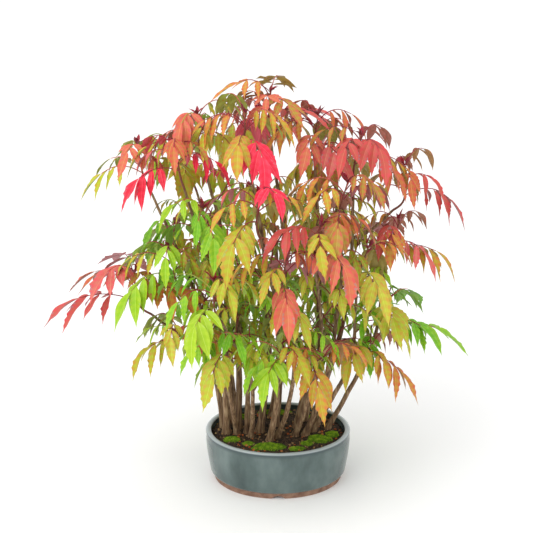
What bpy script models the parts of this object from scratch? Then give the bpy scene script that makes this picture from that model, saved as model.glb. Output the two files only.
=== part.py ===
"""Potted Japanese wax tree: a clump of slim stems in an oval glazed bonsai pot.

Every stem ends in a shoot whose compound leaves arch out and hang. The stems fan out of the
soil, so a stem's foot follows from the place of its shoot. All sizes are in metres unless a
name ends in _MM or _DEG. X runs to the right, Y to the back and Z up.
"""

import math
import random

import bmesh
import bpy
from mathutils import Matrix, Vector
from mathutils.bvhtree import BVHTree

PLANT_NAME = "potted_wax_tree"
MM = 0.001
CLEAR = 0.0003

# Pot: an oval bowl turned as a round one and narrowed front to back. Its offset sets the
# middle of the whole plant's outline over the origin.
POT_WIDTH = 0.144
POT_DEPTH = 0.121
POT_HEIGHT = 0.052
POT_OFFSET = Vector((0.0195, 0.0014, 0.0))
WALL_SLOPE = 0.0040
RIM_THICKNESS = 0.0055
WALL_THICKNESS = 0.0060
LIP_ROUND = 0.0022
FLOOR_THICKNESS = 0.0060
FOOT_HEIGHT = 0.0055
FOOT_INSET = 0.0080
FOOT_WIDTH = 0.0070
RECESS_HEIGHT = 0.0035
DRAIN_RADIUS = 0.0060
NOTCH_RADIUS = 0.0085
NOTCH_HEIGHT = 0.0031
POT_STEPS = 40
POT_BELLY = 0.0004
POT_BEND_HIGH = 0.55
POT_BEND_MID = 0.27
POT_BEND_LOW = 0.18
POT_TUCK = 0.0012
FOOT_EDGE = 0.0006
FOOT_CHAMFER = 0.0004
FLOOR_ROUND = 0.0060
FLOOR_ROUND_HEIGHT = 0.0050
LIP_SHARE = 0.4
NOTCH_STEPS = 24
POT_OVAL = POT_DEPTH / POT_WIDTH

# Soil: fills the pot, level where the stems stand and falling to the wall
SOIL_DROP = 0.0045
SOIL_EDGE_DROP = 0.0062
SOIL_LEVEL_RADIUS = 0.0590
SOIL_GAP = 0.0004
SOIL_TOP = POT_HEIGHT - SOIL_DROP
SOIL_STEPS = 32
SOIL_CORNER = 0.0002

# Moss: one low cushion on the soil in front of the stems
MOSS_WIDTH = 0.034
MOSS_DEPTH = 0.016
MOSS_HEIGHT = 0.0032
MOSS_PLACE = Vector((-0.008, -0.0360))
MOSS_STEPS = 16
MOSS_DOME_DEG = (0, 35, 62, 82)

# Stems: each foot is its shoot's place drawn in towards the middle of the clump
FOOT_SPREAD_X = 0.46
FOOT_SPREAD_Y = 0.27
CLUMP_MIDDLE = Vector((-0.002, 0.011))
FOOT_JITTER = 0.0045
FOOT_SPACING = 0.0105
FOOT_REACH = Vector((0.0560, 0.0430))
EASING_ROUNDS = 60
STEM_BOW = 0.013
STEM_WANDER = 0.0011
WANDER_TURN_X = 9
WANDER_TURN_Y = 8
BOW_WAYS = 8
STEM_PIECES = 7
STEM_TIP_RADIUS = 0.0012
STEM_GIRTH_LOW = 0.0019
STEM_GIRTH_HIGH = 0.0036
TALL_STEM = 0.34
STEM_FLARE = 1.45
STEM_FLARE_HEIGHT = 0.011
FLARE_WAIST = 0.35
FLARE_WAIST_SHARE = 0.4

# Boughs: limbs from a stem's side to a shoot further out
BOUGH_PIECES = 4
BOUGH_SAG = 0.0045
BOUGH_RADIUS = 0.0017
BOUGH_RUN = 0.030
SIDE_RUN = 0.018
SIDE_RISE = 0.45
LOWEST_SIDE_SHOOT = 0.072
RISE_COST = 0.7

# Shoots: a tapering twig above each stem or bough, with leaves set round its upper part
TIP_TWIG = 0.046
TWIG_BELOW = 0.8
TWIG_ABOVE = 0.2
TIP_LEAN = 0.62
TWIG_TIP_RADIUS = 0.0010
SIDE_TWIG_RADIUS = 0.0012
TWIG_TURN = 0.35
LEAVES_START = 0.36
GOLDEN_ANGLE = math.radians(137.5)

# Leaves: a bare stalk, then pairs of hanging leaflets and one at the end
STALK_PIECES = 3
STALK_BEND = 1.3
LAST_LEAF = 0.96
LEAF_TURN = 0.22
LEAF_RISE_DEG = 28
LEAF_RISE_GAIN_DEG = 38
LEAF_RISE_VARY_DEG = 8
LEAF_SAG_DEG = 38
LEAF_SAG_LESS_DEG = 12
LEAF_SAG_MORE_DEG = 16
LEAF_SHRINK = 0.22
LEAF_VARY = 0.1
TWO_PAIR_LENGTH = 0.048
STALK_RADIUS = 0.0009
STALK_TIP_RADIUS = 0.0008
BARE_STALK = 0.46
LAST_PAIR = 0.90
FIRST_PAIR = 0.35
SPREAD_DEG = 66
SPREAD_CLOSING_DEG = 18
SPREAD_VARY_DEG = 7
PAIR_SIZE = 0.86
PAIR_GROWTH = 0.12
END_SIZE = 1.08
LEAFLET_SHARE = 0.80
LEAFLET_WIDTH = 0.42
LEAFLET_WIDEST = 0.38
LEAFLET_THICKNESS = 0.0011
LEAFLET_ROOT = 0.0004
PAIR_DROOP = 1.15
DROOP_LESS = 0.25
DROOP_MORE = 0.30
END_DROOP = 0.55
PAIR_STAGGER = 0.0028
NUDGE = 0.00005
LEAFLET_ARCH = 0.13
LEAFLET_FOLD = 0.10
LEAFLET_TILT = 0.55
ROOT_STRETCH = 0.25

# Space: each mass keeps to its own reach, and nearer to its own heart than to another's. Both
# are counted in the shoot's leaf lengths.
HEART_DROP = 0.3
OWN_REACH = 2.1
RIVAL_ROOM = 1.5

# Tints of the foliage and of the rest, as base colour and roughness
TINTS = {
    "russet": ((0.47, 0.11, 0.06), 0.50),
    "crimson": ((0.80, 0.05, 0.08), 0.45),
    "amber": ((0.50, 0.22, 0.04), 0.50),
    "olive": ((0.34, 0.31, 0.03), 0.50),
    "lime": ((0.30, 0.45, 0.02), 0.45),
    "green": ((0.12, 0.34, 0.01), 0.45),
}
GLAZE = ((0.115, 0.165, 0.160), 0.20)
SOIL_BROWN = ((0.045, 0.028, 0.016), 0.95)
MOSS_GREEN = ((0.080, 0.170, 0.012), 0.90)
BARK = ((0.170, 0.115, 0.070), 0.80)

# Shoots by place, in millimetres from the middle of the pot's underside: where the leaves
# spread, how many leaves, how long they are, where the first one points (0 is right, 90 is
# back, 270 is front), and their tint. The first ones shape the crown's outline.
TIP_SHOOTS = (
    ("leader", -8, 8, 382, 5, 46, 12, "russet"),
    ("top_left", -74, -20, 368, 5, 48, 185, "olive"),
    ("top_middle", -30, -46, 376, 5, 50, 290, "amber"),
    ("high_left", -130, 2, 334, 5, 42, 190, "olive"),
    ("crimson_left", -92, -50, 350, 4, 44, 215, "crimson"),
    ("upper_right", 36, 2, 362, 5, 46, 300, "amber"),
    ("top_right", 74, -26, 350, 5, 52, 8, "russet"),
    ("front_right", 60, -62, 316, 4, 46, 265, "russet"),
    ("far_right", 112, -10, 262, 5, 46, 350, "russet"),
    ("middle_right", 36, -88, 284, 4, 50, 300, "russet"),
    ("middle_front", 6, -100, 258, 4, 46, 275, "russet"),
    ("middle_left", -18, -96, 316, 4, 50, 245, "amber"),
    ("green_left", -68, -52, 288, 4, 48, 150, "green"),
    ("lime_left", -98, -46, 246, 4, 52, 215, "lime"),
    ("hanging_left", -58, -94, 234, 4, 48, 250, "lime"),
    ("green_right", 80, -52, 250, 4, 48, 290, "olive"),
    ("back_left", -86, 60, 316, 4, 52, 120, "olive"),
    ("back_middle", -18, 74, 346, 5, 52, 95, "amber"),
    ("back_right", 62, 66, 318, 4, 52, 60, "russet"),
    ("rear_left", -100, 58, 236, 4, 50, 160, "lime"),
    ("rear_middle", -30, 98, 258, 4, 50, 100, "lime"),
    ("rear_right", 52, 94, 240, 4, 50, 70, "olive"),
)
BOUGH_SHOOTS = (
    ("far_left", -134, -22, 214, 4, 58, 188, "russet"),
    ("low_right", 100, -12, 182, 5, 54, 352, "green"),
    ("right_shoulder", 116, 0, 314, 4, 46, 355, "russet"),
)
SIDE_SHOOTS = (
    ("low_left", -98, -52, 172, 4, 46, 205, "olive"),
    ("low_front_left", -56, -86, 174, 4, 46, 250, "lime"),
    ("low_front", -2, -98, 170, 5, 44, 245, "lime"),
    ("low_front_right", 44, -88, 162, 4, 46, 280, "amber"),
    ("low_hanging_right", 86, -36, 144, 4, 46, 335, "amber"),
    ("low_back_right", 80, 66, 180, 4, 50, 40, "green"),
    ("low_back", -34, 84, 174, 4, 50, 110, "green"),
)
SHOOT_FIELDS = ("name", "x_mm", "y_mm", "z_mm", "leaves", "length_mm", "facing_deg", "tint")


def material(name, finish):
    """A plain Principled material of one colour and roughness."""
    colour, roughness = finish
    made = bpy.data.materials.new(name)
    made.use_nodes = True
    shader = made.node_tree.nodes["Principled BSDF"]
    shader.inputs["Base Color"].default_value = (*colour, 1.0)
    shader.inputs["Roughness"].default_value = roughness
    made.diffuse_color = (*colour, 1.0)
    return made


def new_collection(name):
    """A collection linked to the scene."""
    made = bpy.data.collections.new(name)
    bpy.context.scene.collection.children.link(made)
    return made


def new_object(name, mesh, collection):
    """An object of this mesh in this collection."""
    made = bpy.data.objects.new(name, mesh)
    collection.objects.link(made)
    return made


def smooth(mesh, angle_deg=40):
    """Smooth shading, with edges sharper than the angle kept sharp."""
    mesh.shade_smooth()
    mesh.set_sharp_from_angle(angle=math.radians(angle_deg))


def evaluated_mesh(thing):
    """The mesh that an object's modifiers or bevel make, with its doubles welded."""
    view = bpy.context.evaluated_depsgraph_get()
    mesh = bpy.data.meshes.new_from_object(thing.evaluated_get(view))
    work = bmesh.new()
    work.from_mesh(mesh)
    bmesh.ops.remove_doubles(work, verts=work.verts, dist=1e-6)
    work.to_mesh(mesh)
    work.free()
    return mesh


def turned(name, profile, steps, collection):
    """A body turned round Z from a profile that runs down its outer side."""
    work = bmesh.new()
    verts = [work.verts.new((radius, 0.0, height)) for radius, height in profile]
    closed = profile[0][0] > 0
    pairs = zip(verts, verts[1:] + verts[:1] if closed else verts[1:])
    for one, other in pairs:
        work.edges.new((one, other))
    mesh = bpy.data.meshes.new(name)
    work.to_mesh(mesh)
    work.free()
    body = new_object(name, mesh, collection)
    screw = body.modifiers.new("turn", "SCREW")
    screw.axis = "Z"
    screw.steps = steps
    screw.render_steps = steps
    screw.use_merge_vertices = True
    screw.merge_threshold = 0.00005
    screw.use_smooth_shade = True
    return body


def pot_profile():
    """The pot's section: lip, outer wall, foot band, recess, drain hole, floor and inner wall."""
    outer = POT_WIDTH / 2
    low = outer - WALL_SLOPE
    foot = outer - FOOT_INSET
    inner_top = outer - RIM_THICKNESS
    inner_low = low - WALL_THICKNESS
    floor = RECESS_HEIGHT + FLOOR_THICKNESS
    return [
        (outer - RIM_THICKNESS * 0.5, POT_HEIGHT),
        (outer - LIP_ROUND * LIP_SHARE, POT_HEIGHT - LIP_ROUND * LIP_SHARE),
        (outer, POT_HEIGHT - LIP_ROUND),
        ((outer + low) / 2 + POT_BELLY, POT_HEIGHT * POT_BEND_HIGH),
        (low, POT_HEIGHT * POT_BEND_MID),
        (low - POT_TUCK, POT_HEIGHT * POT_BEND_LOW),
        (foot + FOOT_EDGE, FOOT_HEIGHT + FOOT_EDGE),
        (foot, FOOT_HEIGHT - FOOT_CHAMFER),
        (foot - FOOT_CHAMFER, 0.0),
        (foot - FOOT_WIDTH, 0.0),
        (foot - FOOT_WIDTH - FOOT_EDGE, RECESS_HEIGHT),
        (DRAIN_RADIUS, RECESS_HEIGHT),
        (DRAIN_RADIUS, floor),
        (inner_low - FLOOR_ROUND, floor),
        (inner_low, floor + FLOOR_ROUND_HEIGHT),
        (inner_top, POT_HEIGHT - LIP_ROUND),
        (inner_top + LIP_ROUND * LIP_SHARE, POT_HEIGHT - LIP_ROUND * LIP_SHARE),
    ]


def make_pot(collection, cutters, finish):
    """The pot, with an arched notch through the foot band at its front and back."""
    pot = turned("pot", pot_profile(), POT_STEPS, collection)
    pot.scale = (1.0, POT_OVAL, 1.0)
    pot.location = POT_OFFSET
    pot.data.materials.append(finish)
    bpy.ops.mesh.primitive_cylinder_add(
        vertices=NOTCH_STEPS, radius=NOTCH_RADIUS, depth=POT_DEPTH * 1.2
    )
    notch = bpy.context.object
    notch.name = "notch_cutter"
    notch.rotation_euler = (math.pi / 2, 0.0, 0.0)
    notch.location = POT_OFFSET + Vector((0.0, 0.0, NOTCH_HEIGHT - NOTCH_RADIUS))
    notch.hide_render = True
    notch.display_type = "WIRE"
    for home in list(notch.users_collection):
        home.objects.unlink(notch)
    cutters.objects.link(notch)
    cut = pot.modifiers.new("notch", "BOOLEAN")
    cut.operation = "DIFFERENCE"
    cut.object = notch
    cut.solver = "EXACT"
    return pot


def soil_profile():
    """The soil's section, one gap inside the pot's inner wall and above its floor."""
    outer = POT_WIDTH / 2
    floor = RECESS_HEIGHT + FLOOR_THICKNESS + SOIL_GAP
    inner_low = outer - WALL_SLOPE - WALL_THICKNESS - SOIL_GAP
    inner_top = outer - RIM_THICKNESS - SOIL_GAP
    edge = POT_HEIGHT - SOIL_EDGE_DROP
    wall_low = floor + FLOOR_ROUND_HEIGHT
    rise = (edge - wall_low) / (POT_HEIGHT - LIP_ROUND - wall_low)
    at_edge = inner_low + (inner_top - inner_low) * rise
    return [
        (0.0, SOIL_TOP),
        (SOIL_LEVEL_RADIUS, SOIL_TOP),
        (at_edge, edge),
        (inner_low, wall_low),
        (inner_low - FLOOR_ROUND - SOIL_CORNER, floor),
        (0.0, floor),
    ]


def make_soil(collection, finish):
    """The soil that fills the pot."""
    soil = turned("soil", soil_profile(), SOIL_STEPS, collection)
    soil.scale = (1.0, POT_OVAL, 1.0)
    soil.location = POT_OFFSET
    soil.data.materials.append(finish)
    return soil


def make_moss(collection, finish):
    """A low cushion of moss on the soil."""
    half = MOSS_WIDTH / 2
    dome = [
        (half * math.sin(math.radians(turn)), MOSS_HEIGHT * math.cos(math.radians(turn)))
        for turn in MOSS_DOME_DEG
    ]
    moss = turned("moss", dome + [(half, 0.0), (0.0, 0.0)], MOSS_STEPS, collection)
    moss.scale = (1.0, MOSS_DEPTH / MOSS_WIDTH, 1.0)
    moss.location = POT_OFFSET + Vector((*MOSS_PLACE, SOIL_TOP + CLEAR))
    moss.data.materials.append(finish)
    return moss


def read_shoots(rows):
    """The shoots of one table as dictionaries, with their places in metres."""
    shoots = []
    for row in rows:
        shoot = dict(zip(SHOOT_FIELDS, row))
        shoot["place"] = Vector((shoot["x_mm"], shoot["y_mm"], shoot["z_mm"])) * MM
        shoot["length"] = shoot["length_mm"] * MM
        shoots.append(shoot)
    return shoots


def spread_feet(shoots):
    """The stems' feet: drawn in from the shoots, jittered, then eased apart within the clump."""
    draw = random.Random("feet of the stems")
    feet = []
    for shoot in shoots:
        x = CLUMP_MIDDLE.x + shoot["place"].x * FOOT_SPREAD_X + draw.uniform(-1, 1) * FOOT_JITTER
        y = CLUMP_MIDDLE.y + shoot["place"].y * FOOT_SPREAD_Y + draw.uniform(-1, 1) * FOOT_JITTER
        feet.append(Vector((x, y)))
    for _ in range(EASING_ROUNDS):
        for one in range(len(feet)):
            for other in range(one):
                apart = feet[one] - feet[other]
                short = FOOT_SPACING - apart.length
                if short > 0:
                    feet[one] += apart.normalized() * short / 2
                    feet[other] -= apart.normalized() * short / 2
        for foot in feet:
            reach = math.hypot(foot.x / FOOT_REACH.x, foot.y / FOOT_REACH.y)
            if reach > 1:
                foot /= reach
    return feet


def stem_points(foot, tip, bow, draw):
    """A stem's axis: a straight line that bows a little and wanders."""
    phase_x = draw.uniform(0, math.tau)
    phase_y = draw.uniform(0, math.tau)
    points = []
    for step in range(STEM_PIECES + 1):
        share = step / STEM_PIECES
        swell = math.sin(math.pi * share)
        turn_x = phase_x + WANDER_TURN_X * share
        turn_y = phase_y + WANDER_TURN_Y * share
        wander = Vector((math.sin(turn_x), math.sin(turn_y), 0.0)) * STEM_WANDER
        points.append(foot.lerp(tip, share) + bow * swell + wander * math.sqrt(swell))
    return points


def closest(points, others):
    """The least distance between two axes, sampled between their points."""
    least = math.inf
    for one in halves(points):
        for other in halves(others):
            least = min(least, (one - other).length)
    return least


def halves(points):
    """The points of an axis with two more in each piece."""
    dense = []
    for one, other in zip(points, points[1:]):
        dense += [one, one.lerp(other, 1 / 3), one.lerp(other, 2 / 3)]
    return dense + [points[-1]]


def shoot_lean(place):
    """The way a shoot at this place grows: up, and out from the clump's middle."""
    out = Vector((place.x - CLUMP_MIDDLE.x, place.y - CLUMP_MIDDLE.y, 0.0))
    return (Vector((0.0, 0.0, place.z)) + out * TIP_LEAN).normalized()


def limb_tip(shoot):
    """Where the stem or bough under a shoot ends: some way down the shoot's lean."""
    return shoot["place"] - shoot_lean(shoot["place"]) * TIP_TWIG * TWIG_BELOW


def plan_stems(shoots):
    """Each stem's axis and radii, bowed the way that keeps it furthest from those before it."""
    axes = []
    for shoot, foot in zip(shoots, spread_feet(shoots)):
        ground = Vector((foot.x, foot.y, SOIL_TOP + CLEAR))
        tip = limb_tip(shoot)
        best = None
        for turn in range(BOW_WAYS):
            angle = math.tau * turn / BOW_WAYS
            bow = Vector((math.cos(angle), math.sin(angle), 0.0)) * STEM_BOW
            points = stem_points(ground, tip, bow, random.Random(shoot["name"]))
            room = min((closest(points, other) for other, _ in axes), default=1.0)
            if best is None or room > best[0] + 1e-6:
                best = (room, points)
        axes.append((best[1], stem_radii(best[1], tip.z)))
    return axes


def stem_radii(points, height):
    """Radii along a stem: the taller it is, the stouter its foot."""
    girth = STEM_GIRTH_LOW + (STEM_GIRTH_HIGH - STEM_GIRTH_LOW) * (height / TALL_STEM) ** 2
    return taper(girth, STEM_TIP_RADIUS, len(points))


def taper(first, last, count):
    """Radii that go evenly from the first to the last."""
    return [first + (last - first) * step / (count - 1) for step in range(count)]


def limb(name, points, radii, finish, collection, flat_foot=False):
    """One tapering limb on a bevelled curve, six-sided, with filled ends."""
    curve = bpy.data.curves.new(name, "CURVE")
    curve.dimensions = "3D"
    curve.bevel_depth = 1.0
    curve.bevel_resolution = 1
    curve.use_fill_caps = True
    spline = curve.splines.new("POLY")
    spline.points.add(len(points) - 1)
    for knot, place, radius in zip(spline.points, points, radii):
        knot.co = (*place, 1.0)
        knot.radius = radius
    guide = new_object(name + "_curve", curve, collection)
    mesh = evaluated_mesh(guide)
    bpy.data.objects.remove(guide)
    if flat_foot:
        flatten_foot(mesh, points)
    smooth(mesh)
    mesh.materials.append(finish)
    mesh.name = name
    made = new_object(name, mesh, collection)
    made.location = POT_OFFSET
    return made


def flatten_foot(mesh, points):
    """Slides the lowest ring along the axis until it is level: the cut at the soil."""
    along = (points[1] - points[0]).normalized()
    middle = (points[0] + points[1]) / 2
    for vert in mesh.vertices:
        if (vert.co - middle).dot(along) < 0:
            vert.co += along * (points[0].z - vert.co.z) / along.z


def body_of(thing):
    """The corners and faces of an object's mesh, in the pot's frame."""
    view = bpy.context.evaluated_depsgraph_get()
    shape = thing.evaluated_get(view)
    move = Matrix.Translation(-POT_OFFSET) @ thing.matrix_world
    corners = [move @ vert.co for vert in shape.data.vertices]
    faces = [tuple(face.vertices) for face in shape.data.polygons]
    return corners, faces


def add_flare(points, radii):
    """A stem's axis and radii with a flared foot added below its first piece."""
    top = points[0].lerp(points[1], STEM_FLARE_HEIGHT / (points[1] - points[0]).length)
    waist = points[0].lerp(top, FLARE_WAIST)
    waist_radius = radii[0] * (1 + (STEM_FLARE - 1) * FLARE_WAIST_SHARE)
    flared = [points[0], waist, top] + points[1:]
    return flared, [radii[0] * STEM_FLARE, waist_radius, radii[0]] + radii[1:]


def nearest_start(place, axes, least_run):
    """Where a bough or side shoot leaves a stem: the nearest point low enough for it to rise."""
    best = None
    for points, radii in axes:
        for step in range(1, len(points) - 1):
            for share in (0.0, 0.5):
                here = points[step].lerp(points[step + 1], share)
                run = Vector((place.x - here.x, place.y - here.y)).length
                rise = place.z - here.z
                if here.z < LOWEST_SIDE_SHOOT or rise < run * SIDE_RISE or run < least_run:
                    continue
                cost = run + rise * RISE_COST
                if best is None or cost < best[0]:
                    radius = radii[step] + (radii[step + 1] - radii[step]) * share
                    trunk_way = (points[step + 1] - points[step]).normalized()
                    best = (cost, here, radius, trunk_way)
    return best[1:]


def bough_points(start, end):
    """A bough's axis: it leaves the trunk outwards and turns up towards its shoot."""
    points = []
    for step in range(BOUGH_PIECES + 1):
        share = step / BOUGH_PIECES
        sag = BOUGH_SAG * math.sin(math.pi * share)
        points.append(start.lerp(end, share) - Vector((0, 0, sag)))
    return points


def leave_trunk(here, radius, trunk_way, target, own_radius):
    """The first point of a limb that starts one gap clear of a trunk's side, and its way."""
    along = (target - here).normalized()
    level = abs(along.dot(trunk_way))
    square = math.sqrt(1 - level * level)
    return here + along * (radius + CLEAR + own_radius * level) / square, along


def twig_points(shoot):
    """The axis of a shoot's twig: it leaves its carrier squarely, then turns to the leaves."""
    top = shoot["place"] + shoot_lean(shoot["place"]) * TIP_TWIG * TWIG_ABOVE
    reach = (top - shoot["start"]).length
    return [shoot["start"], shoot["start"] + shoot["along"] * reach * TWIG_TURN, top]


def point_on(points, share):
    """The point at a share of the way along an axis."""
    place = share * (len(points) - 1)
    step = min(int(place), len(points) - 2)
    return points[step].lerp(points[step + 1], place - step)


def leaf_axis(start, azimuth, rise, sag, length):
    """A leaf's stalk and midrib: it rises from the twig, arches over and hangs at its end."""
    points = [start]
    for step in range(STALK_PIECES):
        share = (step + 0.5) / STALK_PIECES
        pitch = rise - (rise + sag) * share**STALK_BEND
        flat = math.cos(pitch) * length / STALK_PIECES
        lift = math.sin(pitch) * length / STALK_PIECES
        ahead = Vector((math.cos(azimuth) * flat, math.sin(azimuth) * flat, lift))
        points.append(points[-1] + ahead)
    return points


def grow_leaf(shoot, number):
    """One compound leaf by rule: its axis, and each leaflet's base, way, length and heading."""
    draw = random.Random(f"{shoot['name']} leaf {number}")
    order = number / max(1, shoot["leaves"] - 1)
    azimuth = math.radians(shoot["facing_deg"]) + number * GOLDEN_ANGLE
    free = min(1, number)
    azimuth += draw.uniform(-LEAF_TURN, LEAF_TURN) * free
    rise_vary = draw.uniform(-LEAF_RISE_VARY_DEG, LEAF_RISE_VARY_DEG)
    rise = math.radians(LEAF_RISE_DEG + LEAF_RISE_GAIN_DEG * order + rise_vary)
    sag = math.radians(LEAF_SAG_DEG + draw.uniform(-LEAF_SAG_LESS_DEG, LEAF_SAG_MORE_DEG))
    shrink = 1 - LEAF_SHRINK * order
    length = shoot["length"] * shrink * (1 + draw.uniform(-LEAF_VARY, LEAF_VARY) * free)
    place = math.sqrt((number + 0.4) / shoot["leaves"])
    along = LEAVES_START + (LAST_LEAF - LEAVES_START) * place
    axis = leaf_axis(point_on(shoot["twig"], along), azimuth, rise, sag, length)
    pairs = 2 if length > TWO_PAIR_LENGTH else 1
    return axis, list(leaflets(axis, azimuth, length, pairs, draw))


def leaflets(axis, azimuth, length, pairs, draw):
    """The leaflets of one leaf: pairs that spread and droop, then the one at the end."""
    heading = Vector((math.cos(azimuth), math.sin(azimuth), 0.0))
    side = Vector((-heading.y, heading.x, 0.0))
    whole = length * LEAFLET_SHARE
    for pair in range(pairs):
        share = BARE_STALK + (LAST_PAIR - BARE_STALK) * (pair + FIRST_PAIR) / pairs
        middle = point_on(axis, share)
        ahead = (point_on(axis, share + 0.05) - middle).normalized()
        spread_vary = draw.uniform(-SPREAD_VARY_DEG, SPREAD_VARY_DEG)
        spread = math.radians(SPREAD_DEG - SPREAD_CLOSING_DEG * pair + spread_vary)
        droop = PAIR_DROOP + draw.uniform(-DROOP_LESS, DROOP_MORE)
        for hand in (-1, 1):
            way = ahead * math.cos(spread) + side * math.sin(spread) * hand
            way = (way - Vector((0, 0, droop))).normalized()
            size = whole * (PAIR_SIZE + PAIR_GROWTH * pair) * draw.uniform(0.92, 1.06)
            yield middle + ahead * PAIR_STAGGER * hand / 2, way, size, heading
    ahead = (axis[-1] - axis[-2]).normalized()
    way = (ahead - Vector((0, 0, END_DROOP))).normalized()
    yield axis[-1], way, whole * END_SIZE, heading


def leaflet_body(base, way, size, heading):
    """A leaflet of eight faces, arched along and folded across, from an eight-faced ball."""
    upper = Vector((0, 0, 1)) + heading * LEAFLET_TILT
    upper = (upper - way * upper.dot(way)).normalized()
    across = way.cross(upper)
    middle = base + way * size * LEAFLET_WIDEST + upper * size * LEAFLET_ARCH
    half = size * LEAFLET_WIDTH / 2
    root = base - way * LEAFLET_ROOT
    tip = base + way * size
    low = middle - upper * size * LEAFLET_FOLD
    corners = [
        middle + upper * LEAFLET_THICKNESS / 2,
        low - across * half,
        root,
        low + across * half,
        tip,
        middle - upper * LEAFLET_THICKNESS / 2,
    ]
    return shaped_ball(corners)


def shaped_ball(corners):
    """An eight-faced ball whose top, four sides and bottom are moved to six corners."""
    work = bmesh.new()
    bmesh.ops.create_uvsphere(work, u_segments=4, v_segments=2, radius=1.0)
    work.verts.ensure_lookup_table()
    ring = sorted(work.verts, key=lambda vert: (-round(vert.co.z), ring_angle(vert.co)))
    places = [corner.copy() for corner in corners]
    faces_before = [[ring.index(vert) for vert in face.verts] for face in work.faces]
    work.free()
    return places, faces_before


def ring_angle(spot):
    """The angle of a point round Z, from 0 to a full turn."""
    return round(math.atan2(spot.y, spot.x) % math.tau, 3)


def tube_body(points, radius, tip_radius):
    """A tapering three-sided twig on a curve bevelled with a triangle."""
    curve = bpy.data.curves.new("twig", "CURVE")
    curve.dimensions = "3D"
    curve.bevel_mode = "OBJECT"
    curve.bevel_object = bpy.data.objects["triangle_section"]
    curve.use_fill_caps = True
    spline = curve.splines.new("POLY")
    spline.points.add(len(points) - 1)
    for step, (knot, place) in enumerate(zip(spline.points, points)):
        knot.co = (*place, 1.0)
        knot.radius = radius + (tip_radius - radius) * step / (len(points) - 1)
    guide = bpy.data.objects.new("twig", curve)
    bpy.context.scene.collection.objects.link(guide)
    mesh = evaluated_mesh(guide)
    corners = [vert.co.copy() for vert in mesh.vertices]
    faces = [tuple(face.vertices) for face in mesh.polygons]
    bpy.data.objects.remove(guide)
    bpy.data.curves.remove(curve)
    bpy.data.meshes.remove(mesh)
    return corners, faces


def make_triangle_section(cutters):
    """The three-cornered section that the twigs are drawn with."""
    curve = bpy.data.curves.new("triangle_section", "CURVE")
    spline = curve.splines.new("POLY")
    spline.points.add(2)
    for number, knot in enumerate(spline.points):
        turn = -math.tau * number / 3
        knot.co = (math.cos(turn), math.sin(turn), 0.0, 1.0)
    spline.use_cyclic_u = True
    section = bpy.data.objects.new("triangle_section", curve)
    section.hide_render = True
    section.display_type = "WIRE"
    cutters.objects.link(section)


def swollen(body, amount):
    """A body moved outwards from its middle by an amount, to test for room round it."""
    corners, faces = body
    middle = sum(corners, Vector()) / len(corners)
    return [corner + (corner - middle).normalized() * amount for corner in corners], faces


def tree_of(body):
    """A search tree of a body's faces."""
    return BVHTree.FromPolygons(*body)


def touches(body, trees):
    """Whether a body, with a little room round it, meets any of the trees."""
    probe = tree_of(swollen(body, CLEAR * 2))
    return any(probe.overlap(tree) for tree in trees)


def in_own_space(shoot, spot, shoots):
    """Whether a spot is within a shoot's space: its reach, and nearer to it than to its rivals."""
    own = (spot - shoot["heart"]).length / shoot["length"]
    if own > OWN_REACH:
        return False
    return all(
        own <= (spot - rival["heart"]).length / rival["length"] * RIVAL_ROOM
        for rival in shoots
        if rival is not shoot
    )


def grow_mass(shoot, shoots, limb_trees, mass_trees):
    """The twig, stalks and leaflets of one mass, without those that leave its space or touch."""
    bodies = [tube_body(shoot["twig"], shoot["twig_radius"], TWIG_TIP_RADIUS)]
    blades = []
    for number in range(shoot["leaves"]):
        axis, leaflet_rows = grow_leaf(shoot, number)
        stalk = tube_body(axis, STALK_RADIUS, STALK_TIP_RADIUS)
        if touches(stalk, limb_trees + mass_trees) or not in_own_space(shoot, axis[-1], shoots):
            continue
        own = [
            (leaflet_body(*row), row)
            for row in leaflet_rows
            if in_own_space(shoot, row[0] + row[1] * row[2], shoots)
        ]
        kept = [
            body
            for body, row in own
            if not touches(body, limb_trees + mass_trees)
            and not touches(short_of_root(row), [tree_of(blade) for blade in blades])
        ]
        if kept:
            bodies.append(stalk)
            bodies += kept
            blades += kept
    return bodies


def short_of_root(row):
    """A leaflet's body without the stretch next to its stalk, to test it against others."""
    base, way, size, heading = row
    past = size * ROOT_STRETCH
    return leaflet_body(base + way * past, way, size - past, heading)


def mesh_of(name, body):
    """A mesh with these corners and faces."""
    mesh = bpy.data.meshes.new(name)
    corners, faces = body
    mesh.from_pydata([tuple(corner) for corner in corners], [], faces)
    mesh.update()
    return mesh


def fuse(name, bodies, solver):
    """The union of a mass's bodies by one Boolean on a collection, as a mesh."""
    pieces = new_collection(name + "_pieces")
    base = new_object(name + "_base", mesh_of(name, bodies[0]), bpy.context.scene.collection)
    for number, body in enumerate(bodies[1:]):
        new_object(f"{name}_piece_{number}", mesh_of(name, body), pieces)
    union = base.modifiers.new("union", "BOOLEAN")
    union.operation = "UNION"
    union.operand_type = "COLLECTION"
    union.collection = pieces
    union.solver = solver
    view = bpy.context.evaluated_depsgraph_get()
    mesh = bpy.data.meshes.new_from_object(base.evaluated_get(view))
    for piece in list(pieces.objects):
        bpy.data.objects.remove(piece)
    bpy.data.objects.remove(base)
    bpy.data.collections.remove(pieces)
    return mesh


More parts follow.
